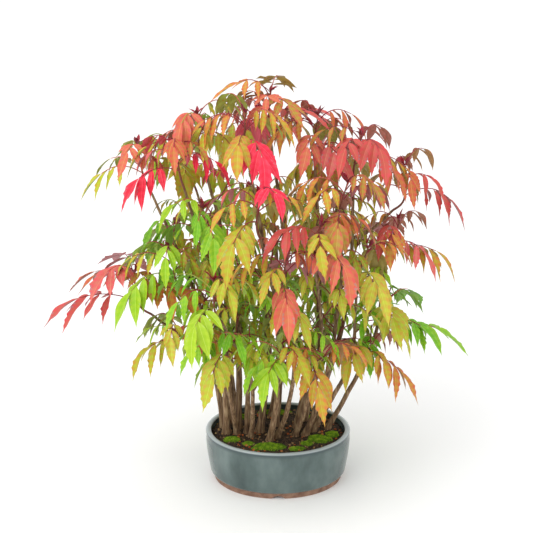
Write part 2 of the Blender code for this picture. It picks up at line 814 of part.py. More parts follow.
def keep_largest(mesh):
    """Drops loose scraps and the walls of sealed hollows; says whether one closed body is left."""
    work = bmesh.new()
    work.from_mesh(mesh)
    bmesh.ops.triangulate(work, faces=work.faces)
    islands = []
    free = set(work.verts)
    while free:
        island = set()
        front = [free.pop()]
        while front:
            vert = front.pop()
            island.add(vert)
            for edge in vert.link_edges:
                other = edge.other_vert(vert)
                if other in free:
                    free.remove(other)
                    front.append(other)
        islands.append(island)
    islands.sort(key=len)
    for island in islands[:-1]:
        bmesh.ops.delete(work, geom=list(island), context="VERTS")
    closed = all(edge.is_manifold and edge.is_contiguous for edge in work.edges)
    right_way_out = work.calc_volume(signed=True) > 0
    work.to_mesh(mesh)
    work.free()
    return closed and right_way_out


def nudged(bodies, amount):
    """The bodies with each one after the first moved a hair, so that no edges coincide."""
    draw = random.Random("nudge")
    moved = [bodies[0]]
    for corners, faces in bodies[1:]:
        step = Vector((draw.uniform(-1, 1), draw.uniform(-1, 1), draw.uniform(-1, 1))) * amount
        moved.append(([corner + step for corner in corners], faces))
    return moved


def make_mass(shoot, bodies, finish, collection):
    """One mass of foliage as a single closed body, with fewer leaflets if it won't close."""
    fewer = bodies[: len(bodies) * 4 // 5]
    tries = (
        (bodies, "EXACT"),
        (bodies, "MANIFOLD"),
        (nudged(bodies, NUDGE), "EXACT"),
        (nudged(bodies, 3 * NUDGE), "EXACT"),
        (nudged(fewer, NUDGE), "EXACT"),
    )
    for parts, solver in tries:
        mesh = fuse(shoot["name"], parts, solver)
        if keep_largest(mesh):
            mesh.name = "leaves_" + shoot["name"]
            mesh.materials.append(finish)
            made = new_object("leaves_" + shoot["name"], mesh, collection)
            made.location = POT_OFFSET
            return made
    raise RuntimeError("this mass doesn't close: " + shoot["name"])


def make_stems(shoots, axes, bark, collection):
    """The stems, each of which carries its shoot's twig on its tip."""
    stems = []
    for shoot, (points, radii) in zip(shoots, axes):
        flared_points, flared_radii = add_flare(points, radii)
        name = "stem_" + shoot["name"]
        stems.append(limb(name, flared_points, flared_radii, bark, collection, flat_foot=True))
        set_on_tip(shoot, points)
    return stems


def make_boughs(shoots, axes, bark, collection):
    """The boughs, from the side of the nearest fitting stem to their shoots."""
    boughs = []
    for shoot in shoots:
        end = limb_tip(shoot)
        start, _ = leave_trunk(*nearest_start(end, axes, BOUGH_RUN), end, BOUGH_RADIUS)
        points = bough_points(start, end)
        radii = taper(BOUGH_RADIUS, STEM_TIP_RADIUS, len(points))
        boughs.append(limb("bough_" + shoot["name"], points, radii, bark, collection))
        set_on_tip(shoot, points)
    return boughs


def set_on_tip(shoot, points):
    """Starts a shoot's twig one gap above a limb's tip, in line with it."""
    shoot["along"] = (points[-1] - points[-2]).normalized()
    shoot["start"] = points[-1] + shoot["along"] * CLEAR
    shoot["twig_radius"] = STEM_TIP_RADIUS


def set_on_side(shoot, axes):
    """Starts a shoot's twig one gap clear of the side of the nearest fitting stem."""
    trunk = nearest_start(shoot["place"], axes, SIDE_RUN)
    shoot["start"], shoot["along"] = leave_trunk(*trunk, shoot["place"], SIDE_TWIG_RADIUS)
    shoot["twig_radius"] = SIDE_TWIG_RADIUS


def make_masses(shoots, solids, collection):
    """The masses of leaves, one after another, each clear of the limbs and of those before it."""
    for shoot in shoots:
        shoot["twig"] = twig_points(shoot)
        shoot["heart"] = shoot["place"] - Vector((0, 0, HEART_DROP * shoot["length"]))
    finishes = {name: material("leaves_" + name, tint) for name, tint in TINTS.items()}
    limb_trees = [tree_of(body_of(thing)) for thing in solids]
    mass_trees = []
    for shoot in shoots:
        bodies = grow_mass(shoot, shoots, limb_trees, mass_trees)
        mass = make_mass(shoot, bodies, finishes[shoot["tint"]], collection)
        mass_trees.append(tree_of(body_of(mass)))


def main():
    """Builds the pot, the soil, the stems, the boughs and the masses of leaves."""
    for thing in list(bpy.data.objects):
        bpy.data.objects.remove(thing)
    plant = new_collection(PLANT_NAME)
    cutters = new_collection("cutters")
    make_triangle_section(cutters)
    pot = make_pot(plant, cutters, material("glaze", GLAZE))
    soil = make_soil(plant, material("soil", SOIL_BROWN))
    moss = make_moss(plant, material("moss", MOSS_GREEN))
    bark = material("bark", BARK)

    tips = read_shoots(TIP_SHOOTS)
    bough_ends = read_shoots(BOUGH_SHOOTS)
    sides = read_shoots(SIDE_SHOOTS)
    axes = plan_stems(tips)
    limbs = make_stems(tips, axes, bark, plant)
    limbs += make_boughs(bough_ends, axes, bark, plant)
    for shoot in sides:
        set_on_side(shoot, axes)
    bpy.context.view_layer.update()
    make_masses(tips + bough_ends + sides, limbs + [pot, soil, moss], plant)


main()
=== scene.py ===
"""Looks of a potted wax tree: a bonsai clump of slim stems in an oval glazed pot."""

import math
import random

import bmesh
import bpy
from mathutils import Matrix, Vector, noise


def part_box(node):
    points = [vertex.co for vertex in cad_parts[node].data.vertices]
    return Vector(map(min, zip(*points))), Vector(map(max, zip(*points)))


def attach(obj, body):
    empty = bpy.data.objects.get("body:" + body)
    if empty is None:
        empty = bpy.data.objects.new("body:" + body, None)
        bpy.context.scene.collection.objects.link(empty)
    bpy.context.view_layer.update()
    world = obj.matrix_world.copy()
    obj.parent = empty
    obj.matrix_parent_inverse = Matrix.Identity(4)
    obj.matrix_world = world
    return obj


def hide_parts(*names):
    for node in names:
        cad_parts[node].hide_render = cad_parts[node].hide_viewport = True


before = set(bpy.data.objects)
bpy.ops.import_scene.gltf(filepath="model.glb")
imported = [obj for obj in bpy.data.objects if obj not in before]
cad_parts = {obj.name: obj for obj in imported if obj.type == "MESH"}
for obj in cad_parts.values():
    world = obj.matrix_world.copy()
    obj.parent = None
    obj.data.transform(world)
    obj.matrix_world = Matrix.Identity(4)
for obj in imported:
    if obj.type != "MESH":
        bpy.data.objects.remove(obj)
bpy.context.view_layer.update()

MM = 0.001

# Studio: a pale floor that runs out of sight, soft white light from all round and one broad
# lamp from the upper left. The camera stands where the photograph's did, found from the oval
# outline of the pot's rim.
VIEW_ANGLE_DEG = 20.0
LOOK_DOWN_DEG = 19.95
CAMERA_LEFT = 0.0115
CAMERA_BACK = 1.3653
CAMERA_OVER_RIM = 0.6659
FLOOR_HALF = 6.0
LAMP_SIZE = 1.4
LAMP_PLACE = (-0.9, -1.1, 1.7)
LAMP_AIM = Vector((0.0, 0.0, 0.2))
LAMP_WATTS = 16.0
SKY_STRENGTH = 1.06
FLOOR_SHADE = (252, 252, 252)
SCREEN_GAMMA = 2.2

pot_low, pot_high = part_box("pot")
POT_MIDDLE = Vector(((pot_low.x + pot_high.x) / 2, (pot_low.y + pot_high.y) / 2, 0.0))

camera = bpy.data.objects.new("camera", bpy.data.cameras.new("camera"))
camera.data.sensor_fit = "HORIZONTAL"
camera.data.angle = math.radians(VIEW_ANGLE_DEG)
camera.location = (
    POT_MIDDLE.x - CAMERA_LEFT,
    POT_MIDDLE.y - CAMERA_BACK,
    pot_high.z + CAMERA_OVER_RIM,
)
camera.rotation_euler = (math.radians(90 - LOOK_DOWN_DEG), 0.0, 0.0)
bpy.context.scene.collection.objects.link(camera)
bpy.context.scene.camera = camera

lamp = bpy.data.objects.new("lamp", bpy.data.lights.new("lamp", "AREA"))
lamp.data.size = LAMP_SIZE
lamp.data.energy = LAMP_WATTS
lamp.location = LAMP_PLACE
lamp.rotation_euler = (LAMP_AIM - lamp.location).to_track_quat("-Z", "Y").to_euler()
bpy.context.scene.collection.objects.link(lamp)

sky = bpy.data.worlds.new("studio")
sky.use_nodes = True
sky.node_tree.nodes["Background"].inputs["Color"].default_value = (1.0, 1.0, 1.0, 1.0)
sky.node_tree.nodes["Background"].inputs["Strength"].default_value = SKY_STRENGTH
bpy.context.scene.world = sky
bpy.context.scene.view_settings.view_transform = "Standard"


def linear(shade):
    """A colour given as 0 to 255 on a screen, as a base colour."""
    return tuple((part / 255) ** SCREEN_GAMMA for part in shade) + (1.0,)


def node_material(name, roughness):
    """A Principled material, its node tree and its shader."""
    made = bpy.data.materials.new(name)
    made.use_nodes = True
    shader = made.node_tree.nodes["Principled BSDF"]
    shader.inputs["Roughness"].default_value = roughness
    return made, made.node_tree, shader


def plain_material(name, shade, roughness, specular=0.5):
    """A Principled material of one base colour."""
    made, _, shader = node_material(name, roughness)
    shader.inputs["Base Color"].default_value = linear(shade)
    shader.inputs["Specular IOR Level"].default_value = specular
    return made


def show(mesh, name, slot, *nodes):
    """Puts a finished mesh in the scene as a piece that stands for these nodes."""
    piece = bpy.data.objects.new(name, mesh)
    bpy.context.scene.collection.objects.link(piece)
    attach(piece, "root")
    if nodes:
        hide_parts(*nodes)
    return piece


bpy.ops.mesh.primitive_plane_add(size=FLOOR_HALF * 2)
floor = bpy.context.object
floor.name = "floor"
floor.data.materials.append(plain_material("floor white", FLOOR_SHADE, 0.9, 0.1))

# Pot: one oval stoneware bowl, thrown and pressed oval, with a rolled lip and a bare foot band
# with an arched notch at the front and back. A mottled grey-blue glaze covers it down to the
# foot. Under the lip the glaze carries painted shade, a darker band. On the lip it is pale, partly
# where it breaks thin and partly from a painted highlight.
POT_STEPS = 144
RIM_THICKNESS = 0.0055
WALL_THICKNESS = 0.0060
WALL_SLOPE = 0.0040
FOOT_INSET = 0.0080
FOOT_WIDTH = 0.0070
FOOT_HEIGHT = 0.0055
RECESS_HEIGHT = 0.0035
FLOOR_THICKNESS = 0.0060
DRAIN_RADIUS = 0.0060
LIP_ROUND = 0.0022
LIP_STEPS = 6
WALL_STEPS = 14
WALL_CURVE = 1.25
WALL_FOOT_SHARE = 0.20
BELLY = 0.0007
NECK_DEPTH = 0.0006
NECK_PLACE = 0.10
NECK_SPAN = 0.06
TURN_IN_STEPS = 5
FOOT_STEP = 0.0006
GLAZE_ROLL = 0.0002
GLAZE_ROLL_HEIGHT = 0.0008
FOOT_CHAMFER = 0.0004
FOOT_CHAMFER_HEIGHT = 0.0010
COVE_WIDTH = 0.0060
COVE_HEIGHT = 0.0050
NOTCH_SIDES = 64
NOTCH_RADIUS = 0.0085
NOTCH_HEIGHT = 0.0031
POT_HEIGHT = pot_high.z
POT_RADIUS = (pot_high.x - pot_low.x) / 2
POT_OVAL = (pot_high.y - pot_low.y) / (pot_high.x - pot_low.x)
GLAZE_SHADES = ((56, 72, 71), (77, 94, 92), (102, 118, 116))
# Pale colour on the lip: partly glaze breaking thin over it, partly a painted highlight.
GLAZE_THIN_LIP_AND_HIGHLIGHT = (166, 176, 178)
# Painted shade under the lip: a darker glaze colour, and the depths below the top over which it comes in.
GLAZE_PAINTED_SHADE = (58, 74, 76)
PAINTED_SHADE_BAND = (0.0065, 0.0026)
# Depths below the top of the pale lip band, where the glaze is thin and has a painted highlight.
THIN_LIP_AND_HIGHLIGHT_BAND = (0.0022, 0.0009)
SMOOTH_UP_TO_DEG = 35
CLAY_SHADES = ((112, 82, 66), (158, 124, 104))


def lip_point(step, hand):
    """A point of the rolled lip, so many steps from its top, on its outside or inside."""
    turn = math.radians(90 * step / LIP_STEPS)
    across = hand * (RIM_THICKNESS / 2) * math.sin(turn)
    middle = POT_RADIUS - RIM_THICKNESS / 2
    return (middle + across, POT_HEIGHT - LIP_ROUND * (1 - math.cos(turn)))


def rounded_profile():
    """The pot's section, from the lip's top down the outside and back up the inside."""
    low = POT_RADIUS - WALL_SLOPE
    foot = POT_RADIUS - FOOT_INSET
    inner_low = low - WALL_THICKNESS
    floor_top = RECESS_HEIGHT + FLOOR_THICKNESS
    wall_foot = POT_HEIGHT * WALL_FOOT_SHARE
    section = [lip_point(step, 1) for step in range(LIP_STEPS + 1)]
    for step in range(1, WALL_STEPS + 1):
        share = step / WALL_STEPS
        height = (POT_HEIGHT - LIP_ROUND) * (1 - share) + wall_foot * share
        belly = BELLY * math.sin(math.pi * share)
        neck = -NECK_DEPTH * math.exp(-(((share - NECK_PLACE) / NECK_SPAN) ** 2))
        section.append((POT_RADIUS - WALL_SLOPE * share**WALL_CURVE + belly + neck, height))
    for step in range(1, TURN_IN_STEPS + 1):
        turn = math.radians(90 * step / TURN_IN_STEPS)
        radius = foot + FOOT_STEP + (low - foot - FOOT_STEP) * math.cos(turn)
        height = wall_foot - (wall_foot - FOOT_HEIGHT - FOOT_STEP) * math.sin(turn)
        section.append((radius, height))
    section += [
        (foot + GLAZE_ROLL, FOOT_HEIGHT),
        (foot, FOOT_HEIGHT - GLAZE_ROLL_HEIGHT),
        (foot, FOOT_CHAMFER_HEIGHT),
        (foot - FOOT_CHAMFER, 0.0),
        (foot - FOOT_WIDTH, 0.0),
        (foot - FOOT_WIDTH - FOOT_STEP, RECESS_HEIGHT),
        (DRAIN_RADIUS, RECESS_HEIGHT),
        (DRAIN_RADIUS, floor_top),
        (inner_low - COVE_WIDTH, floor_top),
        (inner_low, floor_top + COVE_HEIGHT),
        (POT_RADIUS - RIM_THICKNESS, POT_HEIGHT - LIP_ROUND),
    ]
    return section + [lip_point(step, -1) for step in range(LIP_STEPS - 1, 0, -1)]


def lathe(name, profile, steps, middle, oval):
    """A closed ring turned from a section, narrowed front to back and set in its place."""
    work = bmesh.new()
    rings = []
    for step in range(steps):
        turn = math.tau * step / steps
        across = Vector((math.cos(turn), math.sin(turn) * oval, 0.0))
        rings.append([work.verts.new(middle + across * r + Vector((0, 0, z))) for r, z in profile])
    for ring, after in zip(rings, rings[1:] + rings[:1]):
        for one in range(len(profile)):
            two = (one + 1) % len(profile)
            work.faces.new((ring[one], ring[two], after[two], after[one]))
    bmesh.ops.recalc_face_normals(work, faces=work.faces)
    mesh = bpy.data.meshes.new(name)
    work.to_mesh(mesh)
    work.free()
    return mesh


def cut_notches(mesh):
    """The pot's mesh with its foot band cut by one level rod from front to back."""
    bowl = bpy.data.objects.new("bowl_blank", mesh)
    bpy.context.scene.collection.objects.link(bowl)
    bpy.ops.mesh.primitive_cylinder_add(vertices=NOTCH_SIDES, radius=NOTCH_RADIUS, depth=POT_RADIUS * 3)
    rod = bpy.context.object
    rod.rotation_euler = (math.pi / 2, 0.0, 0.0)
    rod.location = POT_MIDDLE + Vector((0.0, 0.0, NOTCH_HEIGHT - NOTCH_RADIUS))
    cut = bowl.modifiers.new("notch", "BOOLEAN")
    cut.operation = "DIFFERENCE"
    cut.solver = "EXACT"
    cut.object = rod
    view = bpy.context.evaluated_depsgraph_get()
    made = bpy.data.meshes.new_from_object(bowl.evaluated_get(view))
    bpy.data.objects.remove(bowl)
    bpy.data.objects.remove(rod)
    return made


def ramp_of(tree, source, shades, places):
    """A colour ramp between these shades, driven by a value."""
    ramp = tree.nodes.new("ShaderNodeValToRGB")
    while len(ramp.color_ramp.elements) < len(shades):
        ramp.color_ramp.elements.new(0.5)
    for element, shade, place in zip(ramp.color_ramp.elements, shades, places):
        element.position = place
        element.color = linear(shade)
    tree.links.new(source, ramp.inputs["Fac"])
    return ramp.outputs["Color"]


def named_tree(kind, name, inputs, output):
    """An empty node tree with named inputs and one output, and its two end nodes."""
    tree = bpy.data.node_groups.new(name, kind)
    for label, sort in inputs:
        tree.interface.new_socket(name=label, in_out="INPUT", socket_type="NodeSocket" + sort)
    label, sort = output
    tree.interface.new_socket(name=label, in_out="OUTPUT", socket_type="NodeSocket" + sort)
    return tree, tree.nodes.new("NodeGroupInput"), tree.nodes.new("NodeGroupOutput")


def grain_group():
    """The shared grain: a noise value on the piece's own coordinates, drawn out by a stretch."""
    inputs = (("Scale", "Float"), ("Detail", "Float"), ("Stretch", "Vector"))
    tree, given, result = named_tree("ShaderNodeTree", "grain", inputs, ("Value", "Float"))
    place = tree.nodes.new("ShaderNodeTexCoord")
    drawn = tree.nodes.new("ShaderNodeMapping")
    grain = tree.nodes.new("ShaderNodeTexNoise")
    tree.links.new(place.outputs["Object"], drawn.inputs["Vector"])
    tree.links.new(given.outputs["Stretch"], drawn.inputs["Scale"])
    tree.links.new(drawn.outputs["Vector"], grain.inputs["Vector"])
    tree.links.new(given.outputs["Scale"], grain.inputs["Scale"])
    tree.links.new(given.outputs["Detail"], grain.inputs["Detail"])
    tree.links.new(grain.outputs["Fac"], result.inputs["Value"])
    return tree


def relief_group():
    """The shared relief: a normal from a height value."""
    inputs = (("Height", "Float"), ("Strength", "Float"), ("Distance", "Float"))
    tree, given, result = named_tree("ShaderNodeTree", "relief", inputs, ("Normal", "Vector"))
    bump = tree.nodes.new("ShaderNodeBump")
    for label, _ in inputs:
        tree.links.new(given.outputs[label], bump.inputs[label])
    tree.links.new(bump.outputs["Normal"], result.inputs["Normal"])
    return tree


GRAIN = grain_group()
RELIEF = relief_group()


def noise_of(tree, scale, detail, stretch=(1.0, 1.0, 1.0)):
    """The shared grain in a material, at its own size, detail and stretch."""
    grain = tree.nodes.new("ShaderNodeGroup")
    grain.node_tree = GRAIN
    grain.inputs["Scale"].default_value = scale
    grain.inputs["Detail"].default_value = detail
    grain.inputs["Stretch"].default_value = stretch
    return grain.outputs["Value"]


def height_share(tree, low, high):
    """A value that goes from 0 to 1 as the surface rises between two heights."""
    place = tree.nodes.new("ShaderNodeTexCoord")
    parts = tree.nodes.new("ShaderNodeSeparateXYZ")
    spread = tree.nodes.new("ShaderNodeMapRange")
    spread.inputs["From Min"].default_value = low
    spread.inputs["From Max"].default_value = high
    tree.links.new(place.outputs["Object"], parts.inputs["Vector"])
    tree.links.new(parts.outputs["Z"], spread.inputs["Value"])
    return spread.outputs["Result"]


def blend_colours(tree, share, one, other):
    """One colour changing to another by a share."""
    mix = tree.nodes.new("ShaderNodeMix")
    mix.data_type = "RGBA"
    tree.links.new(share, mix.inputs["Factor"])
    for source, socket in ((one, mix.inputs[6]), (other, mix.inputs[7])):
        if isinstance(source, tuple):
            socket.default_value = source
        else:
            tree.links.new(source, socket)
    return mix.outputs[2]


def add_bump(tree, shader, height, strength, distance):
    """A small relief from a height value, on a shader."""
    relief = tree.nodes.new("ShaderNodeGroup")
    relief.node_tree = RELIEF
    relief.inputs["Strength"].default_value = strength
    relief.inputs["Distance"].default_value = distance
    tree.links.new(height, relief.inputs["Height"])
    tree.links.new(relief.outputs["Normal"], shader.inputs["Normal"])


def glaze_material():
    """Grey-blue glaze, mottled, with painted shade under the lip; the lip is pale from thin glaze and a
    painted highlight.
    """
    made, tree, shader = node_material("grey-blue glaze", 0.26)
    mottle = ramp_of(tree, noise_of(tree, 42.0, 8.0, (1, 1, 0.55)), GLAZE_SHADES, (0.30, 0.50, 0.72))
    # Two height bands: painted shade under the lip, and the pale lip with its painted highlight.
    painted_shade_share, lip = [
        height_share(tree, POT_HEIGHT - low, POT_HEIGHT - high) for low, high in (PAINTED_SHADE_BAND, THIN_LIP_AND_HIGHLIGHT_BAND)
    ]
    # Painted shade: the glaze turns darker in a band under the rolled lip.
    darker = blend_colours(tree, painted_shade_share, mottle, linear(GLAZE_PAINTED_SHADE))
    # The lip turns pale: partly glaze breaking thin over it, partly a painted highlight.
    colour = blend_colours(tree, lip, darker, linear(GLAZE_THIN_LIP_AND_HIGHLIGHT))
    tree.links.new(colour, shader.inputs["Base Color"])
    shader.inputs["Coat Weight"].default_value = 0.35
    shader.inputs["Coat Roughness"].default_value = 0.12
    add_bump(tree, shader, noise_of(tree, 160.0, 3.0), 0.25, 0.0004)
    return made


def clay_material():
    """Bare fired clay, brown and slightly sandy."""
    made, tree, shader = node_material("bare brown clay", 0.85)
    colour = ramp_of(tree, noise_of(tree, 160.0, 6.0), CLAY_SHADES, (0.3, 0.7))
    tree.links.new(colour, shader.inputs["Base Color"])
    add_bump(tree, shader, noise_of(tree, 900.0, 3.0), 0.5, 0.0003)
    return made


pot_mesh = cut_notches(lathe("pot", rounded_profile(), POT_STEPS, POT_MIDDLE, POT_OVAL))
pot_mesh.materials.clear()
pot_mesh.materials.append(glaze_material())
pot_mesh.materials.append(clay_material())
for face in pot_mesh.polygons:
    bare = face.center.z < FOOT_HEIGHT + FOOT_STEP - 0.0001
    face.material_index = 1 if bare else 0
pot_mesh.shade_smooth()
pot_mesh.set_sharp_from_angle(angle=math.radians(SMOOTH_UP_TO_DEG))
show(pot_mesh, "glazed_pot", "glaze", "pot")

# Soil: dark damp grit that fills the pot to just under the lip, a little mounded round the
# stems and falling to the wall, with coarser grains and tan and orange pebbles lying on top.
SOIL_RINGS = 22
SOIL_STEPS = 96
SOIL_EDGE_DROP = 0.0017
SOIL_GAP = 0.0004
SOIL_DEPTH = 0.012
GRIT_SHADES = ((30, 22, 16), (58, 43, 31), (96, 74, 54))
UPWARD_FROM = 0.6
TUFT_TOP = 0.12
TUFT_FOOT = 0.42
TUFT_HEIGHT = 2.0
TUFT_LEAN = 0.55
GRAIN_LEAST = (0.75, 0.75, 0.55)
GRAIN_MOST = (1.25, 1.1, 1.0)
SHAPE_SEED = 7
LEAN_SEED = 3
soil_low, soil_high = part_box("soil")
SOIL_TOP = soil_high.z
SOIL_RADIUS = (soil_high.x - soil_low.x) / 2 - SOIL_GAP


def soil_height(spot, share):
    """The height of the soil at a spot, by how far out it lies."""
    rough = noise.noise(spot * 160) * 0.0008 + noise.noise(spot * 60 + Vector((5, 1, 2))) * 0.0008
    fall = SOIL_EDGE_DROP * max(0.0, (share - 0.86) / 0.14)
    return SOIL_TOP - 0.0002 - fall + rough * min(1.0, (1 - share) * 9 + 0.2)


def soil_mesh():
    """A closed oval cake of soil with a rough top."""
    work = bmesh.new()
    centre = work.verts.new((POT_MIDDLE.x, POT_MIDDLE.y, soil_height(POT_MIDDLE, 0.0)))
    rings = []
    for ring in range(1, SOIL_RINGS + 1):
        share = ring / SOIL_RINGS
        loop = []
        for step in range(SOIL_STEPS):
            turn = math.tau * step / SOIL_STEPS
            out = Vector((math.cos(turn), math.sin(turn) * POT_OVAL, 0.0)) * SOIL_RADIUS * share
            spot = POT_MIDDLE + out
            loop.append(work.verts.new((spot.x, spot.y, soil_height(spot, share))))
        rings.append(loop)
    under = [work.verts.new(vert.co - Vector((0, 0, SOIL_DEPTH))) for vert in rings[-1]]
    for step in range(SOIL_STEPS):
        after = (step + 1) % SOIL_STEPS
        work.faces.new((centre, rings[0][step], rings[0][after]))
        for inner, outer in zip(rings, rings[1:] + [under]):
            work.faces.new((inner[step], outer[step], outer[after], inner[after]))
    work.faces.new(list(reversed(under)))
    bmesh.ops.recalc_face_normals(work, faces=work.faces)
    mesh = bpy.data.meshes.new("soil")
    work.to_mesh(mesh)
    work.free()
    return mesh


def grit_material(name, shades, scale):
    """Damp mineral grain, mottled between its shades."""
    made, tree, shader = node_material(name, 0.88)
    places = [0.32 + 0.36 * number / (len(shades) - 1) for number in range(len(shades))]
    colour = ramp_of(tree, noise_of(tree, scale, 6.0), shades, places)
    tree.links.new(colour, shader.inputs["Base Color"])
    add_bump(tree, shader, noise_of(tree, scale * 5, 2.0), 0.6, 0.0004)
    return made


def random_vector(tree, least, most, seed):
    """Three random values between two corners, one set for each point."""
    value = tree.nodes.new("FunctionNodeRandomValue")
    value.data_type = "FLOAT_VECTOR"
    value.inputs[0].default_value = least
    value.inputs[1].default_value = most
    value.inputs["Seed"].default_value = seed
    return value.outputs[0]


def end_tree(tree, given, result, body):
    """The end of a geometry tree: instances made real and the material set."""
    real = tree.nodes.new("GeometryNodeRealizeInstances")
    finish = tree.nodes.new("GeometryNodeSetMaterial")
    tree.links.new(body, real.inputs["Geometry"])
    tree.links.new(real.outputs["Geometry"], finish.inputs["Geometry"])
    tree.links.new(given.outputs["Material"], finish.inputs["Material"])
    tree.links.new(finish.outputs["Geometry"], result.inputs["Geometry"])


def scatter_tree(name, detail, stand_up):
    """Grains, or tufts that stand up, strewn over the upper side of a surface by a seed."""
    inputs = (
        ("Geometry", "Geometry"),
        ("Grains per area", "Float"),
        ("Smallest", "Float"),
        ("Largest", "Float"),
        ("Seed", "Int"),
        ("Material", "Material"),
    )
    tree, given, result = named_tree("GeometryNodeTree", name, inputs, ("Geometry", "Geometry"))
    new = tree.nodes.new
    link = tree.links.new
    normal = new("GeometryNodeInputNormal")
    parts = new("ShaderNodeSeparateXYZ")
    upward = new("FunctionNodeCompare")
    upward.inputs["B"].default_value = UPWARD_FROM
    link(normal.outputs["Normal"], parts.inputs["Vector"])
    link(parts.outputs["Z"], upward.inputs["A"])
    strew = new("GeometryNodeDistributePointsOnFaces")
    link(given.outputs["Geometry"], strew.inputs["Mesh"])
    link(upward.outputs["Result"], strew.inputs["Selection"])
    link(given.outputs["Grains per area"], strew.inputs["Density"])
    link(given.outputs["Seed"], strew.inputs["Seed"])
    if stand_up:
        grain = new("GeometryNodeMeshCone")
        grain.inputs["Vertices"].default_value = detail
        grain.inputs["Radius Top"].default_value = TUFT_TOP
        grain.inputs["Radius Bottom"].default_value = TUFT_FOOT
        grain.inputs["Depth"].default_value = TUFT_HEIGHT
    else:
        grain = new("GeometryNodeMeshIcoSphere")
        grain.inputs["Subdivisions"].default_value = detail
    size = new("FunctionNodeRandomValue")
    size.data_type = "FLOAT"
    link(given.outputs["Smallest"], size.inputs[2])
    link(given.outputs["Largest"], size.inputs[3])
    shape = random_vector(tree, GRAIN_LEAST, GRAIN_MOST, SHAPE_SEED)
    both = new("ShaderNodeVectorMath")
    both.operation = "SCALE"
    link(shape, both.inputs[0])
    link(size.outputs[1], both.inputs["Scale"])
    reach = TUFT_LEAN if stand_up else math.pi
    lean = random_vector(tree, (-reach, -reach, -math.pi), (reach, reach, math.pi), LEAN_SEED)
    place = new("GeometryNodeInstanceOnPoints")
    link(strew.outputs["Points"], place.inputs["Points"])
    link(grain.outputs["Mesh"], place.inputs["Instance"])
    link(lean, place.inputs["Rotation"])
    link(both.outputs["Vector"], place.inputs["Scale"])
    end_tree(tree, given, result, place.outputs["Instances"])
    return tree


def run_tree(mesh, tree, values):
    """The plain mesh that a node tree makes from a mesh, with its named inputs set."""
    guide = bpy.data.objects.new("guide", mesh)
    bpy.context.scene.collection.objects.link(guide)
    change = guide.modifiers.new("grow", "NODES")
    change.node_group = tree
    for item in tree.interface.items_tree:
        if item.in_out == "INPUT" and item.name in values:
            change[item.identifier] = values[item.name]
    view = bpy.context.evaluated_depsgraph_get()
    made = bpy.data.meshes.new_from_object(guide.evaluated_get(view))
    guide.modifiers.remove(change)
    bpy.data.objects.remove(guide)
    return made


cake = soil_mesh()
cake.materials.append(grit_material("damp soil", GRIT_SHADES, 420.0))
cake.shade_smooth()
show(cake, "soil_cake", "soil", "soil")

grains_tree = scatter_tree("strewn grains", 1, False)
GRAIN_KINDS = (
    ("dark_grit", 300000.0, 0.45, 1.15, 11, ((26, 20, 15), (62, 46, 34), (104, 82, 60))),
    ("tan_pebbles", 14000.0, 0.8, 1.8, 12, ((120, 92, 60), (158, 124, 82), (196, 164, 118))),
    ("orange_pebbles", 9000.0, 0.8, 1.9, 13, ((140, 66, 30), (190, 96, 44), (206, 132, 76))),
)
for name, per_area, smallest, largest, seed, shades in GRAIN_KINDS:
    grains = run_tree(cake, grains_tree, {
        "Grains per area": per_area,
        "Smallest": smallest * MM,
        "Largest": largest * MM,
        "Seed": seed,
        "Material": grit_material(name.replace("_", " "), shades, 300.0),
    })
    show(grains, name, "soil")

# Moss: low cushions of bright green moss on the soil in front of the stems, at the sides and
# behind. Each is a domed pad whose upper side is covered with short upright tips.
MOSS_PADS = (
    (-0.008, -0.0360, 0.034, 0.016, 0.0030),
    (-0.045, -0.0200, 0.018, 0.013, 0.0024),
    (-0.029, -0.0290, 0.013, 0.009, 0.0020),
    (0.041, -0.0190, 0.026, 0.018, 0.0028),
    (0.018, -0.0400, 0.018, 0.009, 0.0020),
    (0.028, -0.0290, 0.014, 0.010, 0.0022),
    (-0.020, -0.0400, 0.014, 0.007, 0.0018),
    (0.054, -0.0080, 0.014, 0.014, 0.0020),
    (-0.002, 0.0420, 0.040, 0.012, 0.0024),
    (-0.034, 0.0310, 0.022, 0.012, 0.0022),
    (0.036, 0.0290, 0.024, 0.013, 0.0024),
)
PAD_STEPS = 28
PAD_RINGS = 6


def moss_pads():
    """All the pads of moss as one mesh of closed domes."""
    work = bmesh.new()
    for x, y, width, depth, height in MOSS_PADS:
        middle = POT_MIDDLE + Vector((x, y, SOIL_TOP - 0.0008))
        top = work.verts.new(middle + Vector((0, 0, height)))
        rings = []
        for ring in range(1, PAD_RINGS + 1):
            share = ring / PAD_RINGS
            loop = []
            for step in range(PAD_STEPS):
                turn = math.tau * step / PAD_STEPS
                way = Vector((math.cos(turn) * width / 2, math.sin(turn) * depth / 2, 0))
                ragged = 1 + 0.22 * noise.noise(Vector((x * 90, y * 90, 0)) + way.normalized() * 1.6)
                spot = middle + way * share * ragged
                spot.z += height * math.sqrt(max(0.0, 1 - share * share))
                spot.z += 0.0005 * noise.noise(spot * 500) * (1 - share)
                loop.append(work.verts.new(spot))
            rings.append(loop)
        for step in range(PAD_STEPS):
            after = (step + 1) % PAD_STEPS
            work.faces.new((top, rings[0][step], rings[0][after]))
            for inner, outer in zip(rings, rings[1:]):
                work.faces.new((inner[step], outer[step], outer[after], inner[after]))
        work.faces.new(list(reversed(rings[-1])))
    bmesh.ops.recalc_face_normals(work, faces=work.faces)
    mesh = bpy.data.meshes.new("moss")
    work.to_mesh(mesh)
    work.free()
    return mesh


pads = moss_pads()
pads.materials.append(grit_material("moss bed", ((44, 62, 10), (82, 112, 20), (120, 150, 34)), 350.0))
pads.shade_smooth()
show(pads, "moss_pads", "moss", "moss")
tufts = run_tree(pads, scatter_tree("moss tips", 4, True), {
    "Grains per area": 2600000.0,
    "Smallest": 0.42 * MM,
    "Largest": 0.80 * MM,
    "Seed": 21,
    "Material": grit_material("moss tips", ((78, 112, 12), (128, 172, 26), (180, 208, 60)), 260.0),
})
show(tufts, "moss_tips", "moss")

